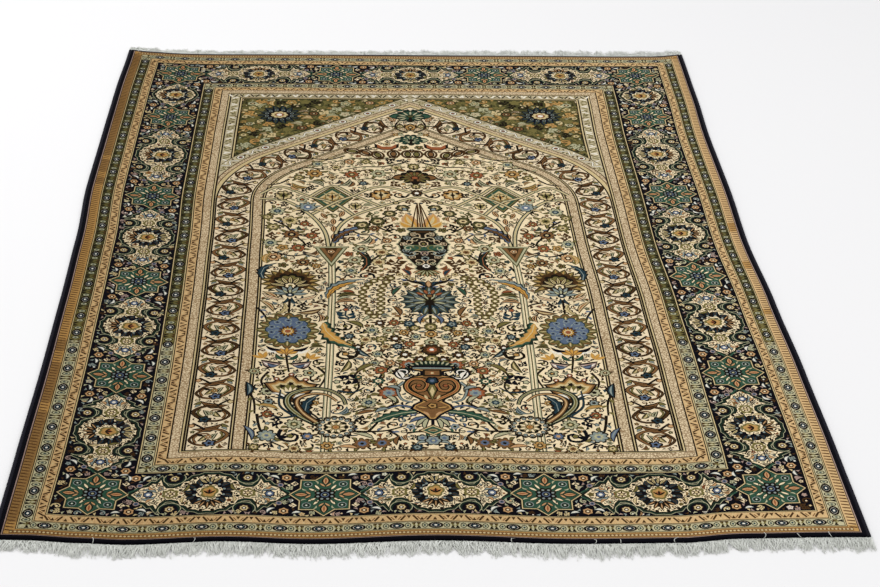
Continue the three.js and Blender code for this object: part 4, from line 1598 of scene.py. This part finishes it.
@dataclass(frozen=True)
class PilePanel:
    """One part of the knotted pile: a closed slab with the drawing cut into its face."""

    name: str
    x0: float
    y0: float
    x1: float
    y1: float
    foot: float = 1.6
    shoulder: float = 1.5
    shoulder_drop: float = 1.5
    edge_step: float = 24.0
    flat_rim: float = 12.0  # how far in from the edge the ripple reaches its full height
    # How much more than its own area a cut shape may cover: a share, and square millimetres.
    spill_share: float = 0.02
    spill_area: float = 0.5
    weld: float = 1e-3  # corners closer than this become one

    def _border(self) -> list[Point]:
        """The panel's outline, anticlockwise, in short steps."""
        corners = [(self.x0, self.y0), (self.x1, self.y0), (self.x1, self.y1), (self.x0, self.y1)]
        points = []
        for (ax, ay), (bx, by) in zip(corners, corners[1:] + corners[:1]):
            steps = max(1, round(math.hypot(bx - ax, by - ay) / self.edge_step))
            points += [(ax + (bx - ax) * i / steps, ay + (by - ay) * i / steps) for i in range(steps)]
        return points

    def _stepped(self, outline: np.ndarray) -> np.ndarray:
        """Puts extra points on long edges, so that they bend with the rug."""
        after = np.roll(outline, -1, axis=0)
        counts = np.ceil(np.linalg.norm(after - outline, axis=1) / self.edge_step).astype(int)
        if counts.max() <= 1:
            return outline
        points = []
        for start, end, count in zip(outline, after, counts):
            points += [start + (end - start) * i / count for i in range(max(count, 1))]
        return np.array(points)

    def _cut(self, chart: Chart) -> tuple[np.ndarray, list, list[Dye]]:
        """Cuts every shape that reaches the panel into one net of triangles.

        Args:
            chart: The whole drawing.

        Returns:
            The net's points, its triangles and the dye of each triangle.
        """
        shapes = [(NAVY, np.array(self._border()))]
        lip_x, lip_y = PILE_HALF_X - self.shoulder, PILE_HALF_Y - self.shoulder
        lip = [(min(max(x, -lip_x), lip_x), min(max(y, -lip_y), lip_y)) for x, y in self._border()]
        shapes.append((NAVY, np.array(lip)))
        for dye, outline in chart.shapes:
            low, high = outline.min(0), outline.max(0)
            if low[0] < self.x1 and high[0] > self.x0 and low[1] < self.y1 and high[1] > self.y0:
                shapes.append((dye, outline))
        points, rings, own = [], [], []
        for _, outline in shapes:
            outline = self._stepped(outline)
            x, y = outline[:, 0], outline[:, 1]
            turned = (np.roll(x, -1) * y - np.roll(y, -1) * x).sum() / 2
            own.append(abs(turned))
            if turned > 0:
                outline = outline[::-1]
            rings.append(list(range(len(points), len(points) + len(outline))))
            points += [Vector(p) for p in outline]
        only_inside = 1  # the kind of net that has no triangle outside every shape
        net, _, triangles, _, _, origins = delaunay_2d_cdt(points, [], rings, only_inside, self.weld, True)
        net = np.array([tuple(p) for p in net])
        # Shape 0 is the panel's own border. The last shape over a triangle gives it its dye.
        inside = [i for i, origin in enumerate(origins) if 0 in origin]
        a, b, c = np.moveaxis(net[np.array([triangles[i] for i in inside])], 1, 0)
        areas = abs((b - a)[:, 0] * (c - a)[:, 1] - (b - a)[:, 1] * (c - a)[:, 0]) / 2
        covered = np.zeros(len(shapes))
        for i, area in zip(inside, areas):
            covered[origins[i]] += area
        # A shape that covers more than its own outline holds wasn't cut well, and is left out.
        allowed = np.array(own) * (1 + self.spill_share) + self.spill_area
        spilt = set(np.nonzero(covered > allowed)[0].tolist())
        if spilt:
            log.info("%s: %d of %d shapes left out", self.name, len(spilt), len(shapes))
        kept = [triangles[i] for i in inside]
        dyes = [shapes[max(set(origins[i]) - spilt)][0] for i in inside]
        return net, kept, dyes

    def build(
        self, chart: Chart, outline: Outline, wools: dict[Dye, bpy.types.Material]
    ) -> bpy.types.Object:
        """Makes the slab.

        Args:
            chart: The whole drawing.
            outline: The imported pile's edges.
            wools: The material of each dye.

        Returns:
            The finished piece.
        """
        net, triangles, dyes = self._cut(chart)
        used = sorted({corner for triangle in triangles for corner in triangle})
        number = {corner: i for i, corner in enumerate(used)}
        net = net[used]
        triangles = [tuple(number[c] for c in t) for t in triangles]
        edge_gap = np.minimum(PILE_HALF_X - np.abs(net[:, 0]), PILE_HALF_Y - np.abs(net[:, 1]))
        fall = self.shoulder_drop * (1 - np.clip(edge_gap / self.shoulder, 0, 1))
        raised = np.array([ripple(x, y) for x, y in net]) * np.clip(edge_gap / self.flat_rim, 0, 1)
        placed = outline.place(net)
        top = np.column_stack([placed, outline.top - fall + raised])
        # The rim is every edge that only one triangle uses.
        rim = {}
        for a, b, c in triangles:
            for edge in ((a, b), (b, c), (c, a)):
                if (edge[1], edge[0]) in rim:
                    del rim[(edge[1], edge[0])]
                else:
                    rim[edge] = True
        lower = {}
        low_points = []
        for a, b in rim:
            for corner in (a, b):
                if corner not in lower:
                    lower[corner] = len(top) + len(low_points)
                    low_points.append((*placed[corner], self.foot))
        middle = len(top) + len(low_points)
        centre = np.mean([p[:2] for p in low_points], axis=0)
        points = np.vstack([top, low_points, [(*centre, self.foot)]])
        walls, floor = [], []
        for a, b in rim:
            walls.append((a, lower[a], lower[b], b))
            floor.append((lower[b], lower[a], middle))
        piece = new_piece(self.name, points, triangles + walls + floor, None, "knotted_pile", "woven_pile")
        order = [dye for dye in Dye if dye in {*dyes, NAVY}]
        for dye in order:
            piece.data.materials.append(wools[dye])
        slots = [order.index(dye) for dye in dyes] + [order.index(NAVY)] * (len(walls) + len(floor))
        piece.data.polygons.foreach_set("material_index", slots)
        piece.data.update()
        return piece


@dataclass(frozen=True)
class Foundation:
    """The woven cotton ground that every knot is tied on: the sheet itself."""

    thickness: float = 1.2
    inset: float = 1.0
    steps: int = 36

    def build(self, outline: Outline, cotton: bpy.types.Material) -> bpy.types.Object:
        """Makes the closed thin slab under the pile.

        Args:
            outline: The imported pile's edges.
            cotton: Its material.

        Returns:
            The finished piece.
        """
        x = np.linspace(self.inset - PILE_HALF_X, PILE_HALF_X - self.inset, self.steps + 1)
        y = np.linspace(self.inset - PILE_HALF_Y, PILE_HALF_Y - self.inset, self.steps + 1)
        grid = outline.place(np.array([(a, b) for b in y for a in x]))
        points = np.vstack([np.column_stack([grid, np.full(len(grid), z)]) for z in (self.thickness, 0.0)])
        faces = slab_faces(self.steps + 1, self.steps + 1)
        return new_piece("cotton_foundation", points, faces, cotton, "knotted_pile", "woven_pile")


@dataclass(frozen=True)
class SideCord:
    """The overcast cord along one long side: a bundle of warps wound with dark wool."""

    name: str
    packed: str
    side: int
    width: float = 7.6
    height: float = 6.0
    gap: float = 0.3
    winding: float = 3.2  # from one turn of the wool to the next
    uneven: float = 0.035  # how much one turn is thicker than another
    slant: float = 0.7
    lift: float = 0.05  # over the floor
    sides: int = 8

    def build(self, outline: Outline, wool: bpy.types.Material) -> bpy.types.Object:
        """Makes the cord as one tube with a ridge for each turn of the wool.

        Args:
            outline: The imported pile's edges.
            wool: Its material.

        Returns:
            The finished piece.
        """
        rng = random.Random(self.side + 5)
        turns = round(2 * PILE_HALF_Y / self.winding)
        middle = self.side * (PILE_HALF_X + self.gap + self.width / 2)
        points, faces = [], []
        for turn in range(turns + 1):
            swell = 1 + rng.uniform(-self.uneven, self.uneven)
            for part, share in ((0.0, 0.9), (0.5, 1.0)):
                along = -PILE_HALF_Y + (turn + part) * self.winding
                for i in range(self.sides):
                    a = math.tau * i / self.sides
                    lag = self.slant * math.cos(a)
                    points.append((middle + 0.5 * self.width * share * swell * math.cos(a),
                                   min(max(along + lag, -PILE_HALF_Y), PILE_HALF_Y),
                                   0.5 * self.height * share * swell * math.sin(a)))
        rings = len(points) // self.sides
        flat = np.array(points)
        placed = outline.place(flat[:, :2])
        heights = self.height / 2 + self.lift + flat[:, 2]
        for r in range(rings - 1):
            for i in range(self.sides):
                a, b = r * self.sides + i, r * self.sides + (i + 1) % self.sides
                faces.append((a, a + self.sides, b + self.sides, b))
        faces.append(tuple(range(self.sides)))
        faces.append(tuple(reversed(range((rings - 1) * self.sides, rings * self.sides))))
        points = np.column_stack([placed, np.maximum(heights, 0.0)])
        piece = new_piece(self.name, points, faces, wool, "overcast_cord", self.packed)
        for polygon in piece.data.polygons:
            polygon.use_smooth = len(polygon.vertices) == 4
        return piece


@dataclass(frozen=True)
class Fringe:
    """One end's loose warps, with the narrow flat-woven strip that they run out of."""

    name: str
    end: int
    strays: int
    gap: float = 0.3  # to the pile
    strip_width: float = 8.0
    strip_height: float = 1.5
    rib: float = 0.35  # how far every other crossing stands up
    warp_pitch: float = 1.75
    layers: int = 3  # of warps, one over the other
    clump: float = 17.0  # how far apart the tufts lie into which the warps gather
    shortest: float = 0.66  # warp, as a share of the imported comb's length
    sway: float = 7.5
    curl: float = 5.2
    thickness: float = 0.78  # of a warp at its root, as a radius
    thinning: float = 0.3  # towards its tip
    comb_root: float = 24.0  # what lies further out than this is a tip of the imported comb
    bends: int = 6
    sides: int = 3
    seed: int = 40

    def _lengths(self, outline: Outline) -> tuple[np.ndarray, np.ndarray]:
        """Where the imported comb's tips lie: their x, and their distance from the pile."""
        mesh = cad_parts[self.name].data
        corners = np.array([(v.co.x / MM, v.co.y / MM) for v in mesh.vertices])
        _, edge = outline.front if self.end < 0 else outline.back
        distance = self.end * (corners[:, 1] - np.interp(corners[:, 0], edge[:, 0], edge[:, 1]))
        tips = corners[distance > self.comb_root], distance[distance > self.comb_root]
        order = np.argsort(tips[0][:, 0])
        return tips[0][order, 0], tips[1][order]

    def build_strip(self, outline: Outline, cotton: bpy.types.Material) -> bpy.types.Object:
        """Makes the flat-woven strip, with a rib over each warp pair."""
        ribs = round(PILE_HALF_X / self.warp_pitch / 2)
        across = np.linspace(-PILE_HALF_X - 7.0, PILE_HALF_X + 7.0, 2 * ribs + 1)
        rows = (self.gap, self.gap + 2.0, self.gap + 4.5, self.gap + 7.0, self.gap + self.strip_width)
        drawn, heights = [], []
        for j, away in enumerate(rows):
            for i, x in enumerate(across):
                drawn.append((x, self.end * (PILE_HALF_Y + away)))
                rib = self.rib if (i + j) % 2 else 0.0
                heights.append(self.strip_height + rib - (0.3 if j in (0, 4) else 0.0))
        placed = outline.place(np.array(drawn))
        points = np.vstack([np.column_stack([placed, z]) for z in (heights, np.zeros(len(drawn)))])
        faces = slab_faces(len(rows), len(across), self.end)
        return new_piece(self.name + "_strip", points, faces, cotton, "warp_fringe", self.name)

    def build_strands(self, outline: Outline, cotton: bpy.types.Material) -> bpy.types.Object:
        """Makes every loose warp as a thin closed tube.

        Args:
            outline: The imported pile's edges.
            cotton: Its material.

        Returns:
            The finished piece.
        """
        rng = np.random.default_rng(self.seed + self.end)
        roots = np.arange(-PILE_HALF_X - 5.0, PILE_HALF_X + 5.0, self.warp_pitch)
        roots = np.concatenate([roots + self.warp_pitch * k / self.layers for k in range(self.layers)])
        count = len(roots)
        roots = roots + rng.uniform(-0.4, 0.4, count)
        tip_x, tip_away = self._lengths(outline)
        start = self.gap + 1.5
        reach = np.interp(roots, tip_x, tip_away) - start
        reach *= rng.uniform(self.shortest, 1.0, count)
        clumps = np.round(roots / self.clump + rng.uniform(-0.35, 0.35, count)) * self.clump
        clump_lean = 6.0 * np.sin(clumps * 0.61) + 3.0 * np.sin(clumps * 0.173 + 1)
        t = np.linspace(0, 1, self.bends)[:, None]
        sway = rng.uniform(-1, 1, count) * self.sway
        curl = rng.uniform(-1, 1, count) * self.curl
        gathered = (clumps - roots) * 0.45 + clump_lean * 0.7 + sway
        x = roots + t**1.4 * gathered + curl * np.sin(4.2 * t + roots)
        away = start + reach * t * (1 - 0.06 * np.abs(sway / self.sway) * t)
        layer = rng.uniform(0.0, 1.0, count)
        arch = np.sin(np.pi * np.clip(t * 1.08, 0, 1)) ** 0.8
        z = 0.75 + (0.5 + 3.4 * layer) * arch + (1.3 + layer) * (1 - t)
        x = np.clip(x, -PILE_HALF_X - 8.0, PILE_HALF_X + 8.0)
        radius = (self.thickness - self.thinning * t) * rng.uniform(0.85, 1.15, count)
        # A few strands are thrown back over the rug's edge.
        t = t[:, 0]
        marks = [0, 0.3, 0.55, 1.0]
        for _ in range(self.strays):
            i = int(rng.integers(0, count))
            away[:, i] = np.interp(t, marks, [start, 2.5, -2.0, -rng.uniform(3.0, 9.0)])
            z[:, i] = np.interp(t, marks, [2.4, 6.6, 8.2, 7.9])
            wave = rng.uniform(-6, 6) * np.sin(t * rng.uniform(2, 5))
            x[:, i] = roots[i] + wave + rng.uniform(-6, 6) * t
            radius[:, i] = 0.5
        placed = outline.place(np.column_stack([x.ravel(), self.end * (PILE_HALF_Y + away.ravel())]))
        path = np.column_stack([placed, z.ravel()]).reshape(self.bends, count, 3)
        tube = []
        for corner in range(self.sides):
            a = math.tau * (corner + 0.25) / self.sides
            shift = np.zeros_like(path)
            shift[:, :, 0] = radius * math.cos(a)
            shift[:, :, 2] = radius * math.sin(a)
            tube.append(path + shift)
        points = np.stack(tube, axis=2)
        points[..., 2] = np.maximum(points[..., 2], 0.02)
        flat = points.reshape(-1, 3)
        number = np.arange(len(flat)).reshape(self.bends, count, self.sides)
        faces = []
        for corner in range(self.sides):
            after = (corner + 1) % self.sides
            quads = np.stack([number[:-1, :, corner], number[:-1, :, after], number[1:, :, after],
                              number[1:, :, corner]], axis=-1).reshape(-1, 4)
            faces += (quads if self.end < 0 else quads[:, ::-1]).tolist()
        caps = [number[0], number[-1][:, ::-1]] if self.end > 0 else [number[0][:, ::-1], number[-1]]
        faces += np.vstack(caps).tolist()
        piece = new_piece(self.name + "_strands", flat, faces, cotton, "warp_fringe", self.name)
        piece.data.polygons.foreach_set("use_smooth", [True] * len(piece.data.polygons))
        return piece


# ---- Finishes ----------------------------------------------------------------------------------


def linear(colour: str) -> tuple[float, float, float, float]:
    """Turns an sRGB hex colour into Blender's linear one."""
    parts = [int(colour[i : i + 2], 16) / 255 for i in (1, 3, 5)]
    return (*(c / 12.92 if c <= 0.04045 else ((c + 0.055) / 1.055) ** 2.4 for c in parts), 1.0)


def mixed(colour: str, other: str, share: float) -> str:
    """The sRGB colour that lies some share of the way from one colour to another."""
    pairs = [(int(colour[i : i + 2], 16), int(other[i : i + 2], 16)) for i in (1, 3, 5)]
    return "#" + "".join(f"{round(a + (b - a) * share):02x}" for a, b in pairs)


def lightness(colour: str) -> float:
    """The mean of an sRGB colour's three parts, from 0 to 1."""
    return sum(int(colour[i : i + 2], 16) for i in (1, 3, 5)) / 765


def add_node(
    tree: bpy.types.NodeTree, kind: str, settings: dict | None = None, links: dict | None = None
) -> bpy.types.Node:
    """Adds one node.

    Args:
        tree: The material's tree.
        kind: The node's type.
        settings: Values of its own settings, or of its inputs by name or number.
        links: The output that feeds each input.

    Returns:
        The new node.
    """
    node = tree.nodes.new(kind)
    for key, value in (settings or {}).items():
        if isinstance(key, str) and hasattr(node, key):
            setattr(node, key, value)
        else:
            node.inputs[key].default_value = value
    for key, output in (links or {}).items():
        tree.links.new(output, node.inputs[key])
    return node


def new_material(name: str) -> tuple[bpy.types.Material, bpy.types.NodeTree]:
    """Makes an empty node material."""
    material = bpy.data.materials.new(name)
    material.use_nodes = True
    material.node_tree.nodes.clear()
    return material, material.node_tree


def cloud(
    tree: bpy.types.NodeTree, place: bpy.types.NodeSocket, size: float, detail: float, roughness: float
) -> bpy.types.NodeSocket:
    """Adds cloudy noise.

    Args:
        tree: The material's tree.
        place: Where each point lies.
        size: How far apart the clouds are, in millimetres.
        detail: How many finer layers it has.
        roughness: How strong they are.

    Returns:
        Its value, from 0 to 1.
    """
    settings = {"Scale": 1 / (size * MM), "Detail": detail, "Roughness": roughness}
    return add_node(tree, "ShaderNodeTexNoise", settings, {"Vector": place}).outputs["Fac"]


def summed(
    tree: bpy.types.NodeTree, value: bpy.types.NodeSocket, share: float,
    base: bpy.types.NodeSocket | None = None, clamp: bool = False
) -> bpy.types.NodeSocket:
    """Adds a share of one value to another."""
    settings = {"operation": "MULTIPLY_ADD", "use_clamp": clamp, 1: share}
    links = {0: value}
    if base is None:
        settings[2] = 0.0
    else:
        links[2] = base
    return add_node(tree, "ShaderNodeMath", settings, links).outputs[0]


def stretched(
    tree: bpy.types.NodeTree, value: bpy.types.NodeSocket, start: float, end: float, low: float = 0.0,
    high: float = 1.0
) -> bpy.types.NodeSocket:
    """Turns the range of a value from start to end into that from low to high."""
    settings = {"From Min": start, "From Max": end, "To Min": low, "To Max": high}
    return add_node(tree, "ShaderNodeMapRange", settings, {"Value": value}).outputs[0]


def blended(
    tree: bpy.types.NodeTree, share: bpy.types.NodeSocket, low: str | bpy.types.NodeSocket, high: str
) -> bpy.types.NodeSocket:
    """Mixes a colour with another one, the more of it the greater the share."""
    settings = {"data_type": "RGBA", 7: linear(high)}
    links = {0: share}
    if isinstance(low, str):
        settings[6] = linear(low)
    else:
        links[6] = low
    return add_node(tree, "ShaderNodeMix", settings, links).outputs[2]


def finish_surface(tree: bpy.types.NodeTree, settings: dict, links: dict) -> None:
    """Adds the shader and the output that it feeds."""
    shader = add_node(tree, "ShaderNodeBsdfPrincipled", settings, links)
    add_node(tree, "ShaderNodeOutputMaterial", {}, {"Surface": shader.outputs[0]})


@dataclass(frozen=True)
class KnottedWool:
    """Hand-spun wool, knotted and clipped: matt, soft, and never quite one colour.

    The eye sees the rows of cut knots as a fine grain, each knot a little lighter or darker than
    the next, and slow bands across the rug where one dye lot gave way to another.
    """

    dye: Dye
    knot: float = 1.7  # millimetres from one knot to the next
    tuft: float = 5.0  # millimetres over which the clipping changes
    fibre: float = 0.9  # millimetres
    lot_band: float = 130.0  # millimetres over which the dye drifts
    # How much each of these lightens the wool: the single knot, the dye lot, the clipping, and painted
    # sheen that
    #     # grows towards the rug's right side, where the light catches the pile more.
    knot_share: float = 0.42
    lot_share: float = 0.75
    tuft_share: float = 0.6
    painted_sheen_share: float = 0.3
    # How far the darkest knots go towards black, and the palest towards a warm white. Light dyes go
    # further than dark ones.
    deepest: float = 0.27
    palest: float = 0.012
    palest_gain: float = 0.27
    relief: float = 0.9  # millimetres
    roughness: float = 0.88
    figure: str | None = None  # the colour of a fine meander worked into the ground
    figure_cell: float = 5.2

    def build(self) -> bpy.types.Material:
        """Makes the material."""
        material, tree = new_material("wool_" + self.dye.name.lower())
        place = add_node(tree, "ShaderNodeTexCoord").outputs["Object"]
        cell = (self.knot * MM, self.knot * MM, 1.0)
        knots = add_node(tree, "ShaderNodeVectorMath", {"operation": "SNAP", 1: cell}, {0: place})
        lone = add_node(tree, "ShaderNodeTexWhiteNoise", {"noise_dimensions": "3D"}, {0: knots.outputs[0]})
        banded = add_node(tree, "ShaderNodeMapping", {"Scale": (0.3, 1.0, 1.0)}, {"Vector": place})
        lots = cloud(tree, banded.outputs[0], self.lot_band, 3.0, 0.6)
        tufts = cloud(tree, place, self.tuft, 3.0, 0.7)
        across = add_node(tree, "ShaderNodeSeparateXYZ", {}, {0: place}).outputs["X"]
        part = summed(tree, lone.outputs["Value"], self.knot_share)
        part = summed(tree, lots, self.lot_share, part)
        part = summed(tree, tufts, self.tuft_share, part, clamp=True)
        # Painted sheen: the wool grows lighter towards the rug's right side, where the light catches the
        # pile.
        part = summed(tree, across, self.painted_sheen_share / (HALF_WIDTH * MM), part)
        deep = mixed(self.dye.value, "#000000", self.deepest)
        gain = self.palest_gain * lightness(self.dye.value)
        pale = mixed(self.dye.value, "#fff4de", self.palest + gain)
        colour = blended(tree, stretched(tree, part, 0.3, 1.5), deep, pale)
        if self.figure:
            settings = {"feature": "DISTANCE_TO_EDGE", "Scale": 1 / (self.figure_cell * MM)}
            net = add_node(tree, "ShaderNodeTexVoronoi", settings, {"Vector": place}).outputs["Distance"]
            colour = blended(tree, stretched(tree, net, 0.07, 0.17, 0.75, 0.0), colour, self.figure)
        # The cut tips stand in rows, one small mound to a knot.
        settings = {"Scale": 1 / (self.knot * MM), "Randomness": 0.55}
        mounds = add_node(tree, "ShaderNodeTexVoronoi", settings, {"Vector": place}).outputs["Distance"]
        height = summed(tree, mounds, -0.6, cloud(tree, place, self.fibre, 2.0, 0.5))
        settings = {"Strength": 0.55, "Distance": self.relief * MM}
        bump = add_node(tree, "ShaderNodeBump", settings, {"Height": height})
        rough = stretched(tree, tufts, 0.0, 1.0, self.roughness - 0.07, self.roughness + 0.08)
        finish_surface(
            tree, {"IOR": 1.54, "Specular IOR Level": 0.012, "Sheen Weight": 0.006, "Sheen Roughness": 0.6},
            {"Base Color": colour, "Roughness": rough, "Normal": bump.outputs[0]},
        )
        return material


@dataclass(frozen=True)
class SpunYarn:
    """Yarn that is seen as yarn: twisted cotton warps, or wool wound round an edge.

    The twist shows as fine slanting ridges, with grey in the hollows where dust and shade gather.
    """

    name: str
    hollow: str
    crown: str
    twist: float  # millimetres from one ply to the next
    roughness: float
    patch: float = 14.0  # millimetres over which the yarn's tone changes

    def build(self) -> bpy.types.Material:
        """Makes the material."""
        material, tree = new_material(self.name)
        place = add_node(tree, "ShaderNodeTexCoord").outputs["Object"]
        patches = cloud(tree, place, self.patch, 4.0, 0.65)
        settings = {"bands_direction": "DIAGONAL", "Scale": 0.3 / (self.twist * MM), "Distortion": 2.0,
                    "Detail": 1.0}
        ply = add_node(tree, "ShaderNodeTexWave", settings, {"Vector": place}).outputs["Fac"]
        part = summed(tree, ply, 0.35, patches)
        colour = blended(tree, stretched(tree, part, 0.35, 0.95), self.hollow, self.crown)
        bump = add_node(tree, "ShaderNodeBump", {"Strength": 0.5, "Distance": 0.3 * MM}, {"Height": ply})
        rough = stretched(tree, patches, 0.0, 1.0, self.roughness - 0.06, self.roughness + 0.06)
        finish_surface(
            tree, {"IOR": 1.53, "Specular IOR Level": 0.1, "Sheen Weight": 0.03, "Sheen Roughness": 0.5},
            {"Base Color": colour, "Roughness": rough, "Normal": bump.outputs[0]},
        )
        return material


# ---- Studio ------------------------------------------------------------------------------------


@dataclass(frozen=True)
class Studio:
    """A plain pale floor, soft light from above and the camera."""

    floor_size: float = 16.0
    floor_drop: float = 0.0005  # under the rug's foot
    floor_paint: str = "#ebeae9"
    room_light: str = "#fbfcff"
    room_strength: float = 0.77
    # Name, place, width and power of each light.
    lights: tuple[tuple[str, tuple[float, float, float], float, float], ...] = (
        ("key_softbox", (-2.4, 1.6, 4.2), 3.0, 102.0),
        ("fill_softbox", (2.8, -2.2, 3.8), 3.5, 48.0),
    )
    camera_at: tuple[float, float, float] = (-0.117, -3.382, 1.811)
    look: tuple[float, float, float] = (0.04299, 0.86786, -0.49495)
    up: tuple[float, float, float] = (-0.00343, 0.49554, 0.86858)
    lens: float = 76.2
    sensor: float = 36.0

    def build(self) -> None:
        """Makes the floor, the lights and the camera."""
        scene = bpy.context.scene
        scene.view_settings.view_transform = "Standard"
        self._floor(scene)
        world = bpy.data.worlds.new("pale_room")
        world.use_nodes = True
        background = world.node_tree.nodes["Background"]
        background.inputs["Color"].default_value = linear(self.room_light)
        background.inputs["Strength"].default_value = self.room_strength
        scene.world = world
        for name, at, size, power in self.lights:
            light = bpy.data.lights.new(name, "AREA")
            light.size = size
            light.energy = power
            lamp = bpy.data.objects.new(name, light)
            scene.collection.objects.link(lamp)
            lamp.location = at
            lamp.rotation_euler = (-Vector(at)).to_track_quat("-Z", "Y").to_euler()
        self._camera(scene)

    def _floor(self, scene: bpy.types.Scene) -> None:
        """Makes the floor."""
        half = self.floor_size / 2
        corners = [(-half, -half, 0), (half, -half, 0), (half, half, 0), (-half, half, 0)]
        mesh = bpy.data.meshes.new("floor")
        mesh.from_pydata(corners, [], [(0, 1, 2, 3)])
        floor = bpy.data.objects.new("floor", mesh)
        scene.collection.objects.link(floor)
        floor.location.z = -self.floor_drop
        material, tree = new_material("white_painted_floor")
        grain = add_node(tree, "ShaderNodeTexNoise", {"Scale": 3.0, "Detail": 2.0}).outputs["Fac"]
        rough = stretched(tree, grain, 0.0, 1.0, 0.6, 0.75)
        settings = {"Base Color": linear(self.floor_paint), "Specular IOR Level": 0.2}
        finish_surface(tree, settings, {"Roughness": rough})
        mesh.materials.append(material)

    def _camera(self, scene: bpy.types.Scene) -> None:
        """Makes the camera."""
        camera = bpy.data.cameras.new("camera")
        camera.lens = self.lens
        camera.sensor_width = self.sensor
        camera.clip_end = 60.0
        eye = bpy.data.objects.new("camera", camera)
        scene.collection.objects.link(eye)
        back = -Vector(self.look)
        right = Vector(self.up).cross(back)
        axes = Matrix((right, self.up, back)).transposed().to_4x4()
        eye.matrix_world = Matrix.Translation(self.camera_at) @ axes
        scene.camera = eye


# ---- Making ------------------------------------------------------------------------------------


def draw_rug() -> Chart:
    """Draws the whole design.

    Returns:
        The finished chart.
    """
    chart = Chart()
    BorderPattern().paint(chart)
    corners = SpandrelPattern()
    corners.paint_ground(chart)
    ArchPattern().paint(chart)
    corners.paint(chart)
    FieldPattern().paint(chart)
    return chart


def main() -> None:
    """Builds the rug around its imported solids, piece by piece."""
    logging.basicConfig(level=logging.INFO, format="%(name)s: %(message)s")
    Studio().build()
    chart = draw_rug()
    log.info("drawing: %d shapes", len(chart.shapes))
    outline = Outline()
    figures = {STONE: "#70522f"}
    wools = {dye: KnottedWool(dye, figure=figures.get(dye)).build() for dye in Dye}
    cotton = SpunYarn("undyed_cotton_warp", "#c2c4bb", "#f4f5ee", 1.2, 0.9).build()
    wound = SpunYarn("overcast_navy_wool", "#08070d", "#181622", 1.6, 0.85).build()

    pieces = []
    lower, upper = -300.0, 180.0  # where the ground inside the border is parted into three panels
    for panel in (
        PilePanel("pile_border_front", -PILE_HALF_X, -PILE_HALF_Y, PILE_HALF_X, -INNER_Y),
        PilePanel("pile_border_back", -PILE_HALF_X, INNER_Y, PILE_HALF_X, PILE_HALF_Y),
        PilePanel("pile_border_left", -PILE_HALF_X, -INNER_Y, -INNER_X, INNER_Y),
        PilePanel("pile_border_right", INNER_X, -INNER_Y, PILE_HALF_X, INNER_Y),
        PilePanel("pile_niche_foot", -INNER_X, -INNER_Y, INNER_X, lower),
        PilePanel("pile_niche_middle", -INNER_X, lower, INNER_X, upper),
        PilePanel("pile_niche_head", -INNER_X, upper, INNER_X, INNER_Y),
    ):
        pieces.append(panel.build(chart, outline, wools))
    for cord in (SideCord("overcast_cord_left", "selvedge_left", -1),
                 SideCord("overcast_cord_right", "selvedge_right", 1)):
        pieces.append(cord.build(outline, wound))
    for fringe in (Fringe("fringe_front", -1, 9), Fringe("fringe_back", 1, 3)):
        pieces.append(fringe.build_strip(outline, cotton))
        pieces.append(fringe.build_strands(outline, cotton))
    foundation = Foundation().build(outline, cotton)
    for piece in [*pieces, foundation]:
        piece.data.validate()
        count = sum(len(p.vertices) - 2 for p in piece.data.polygons)
        log.info("%s: %d triangles", piece.name, count)


if __name__ == "__main__":
    main()
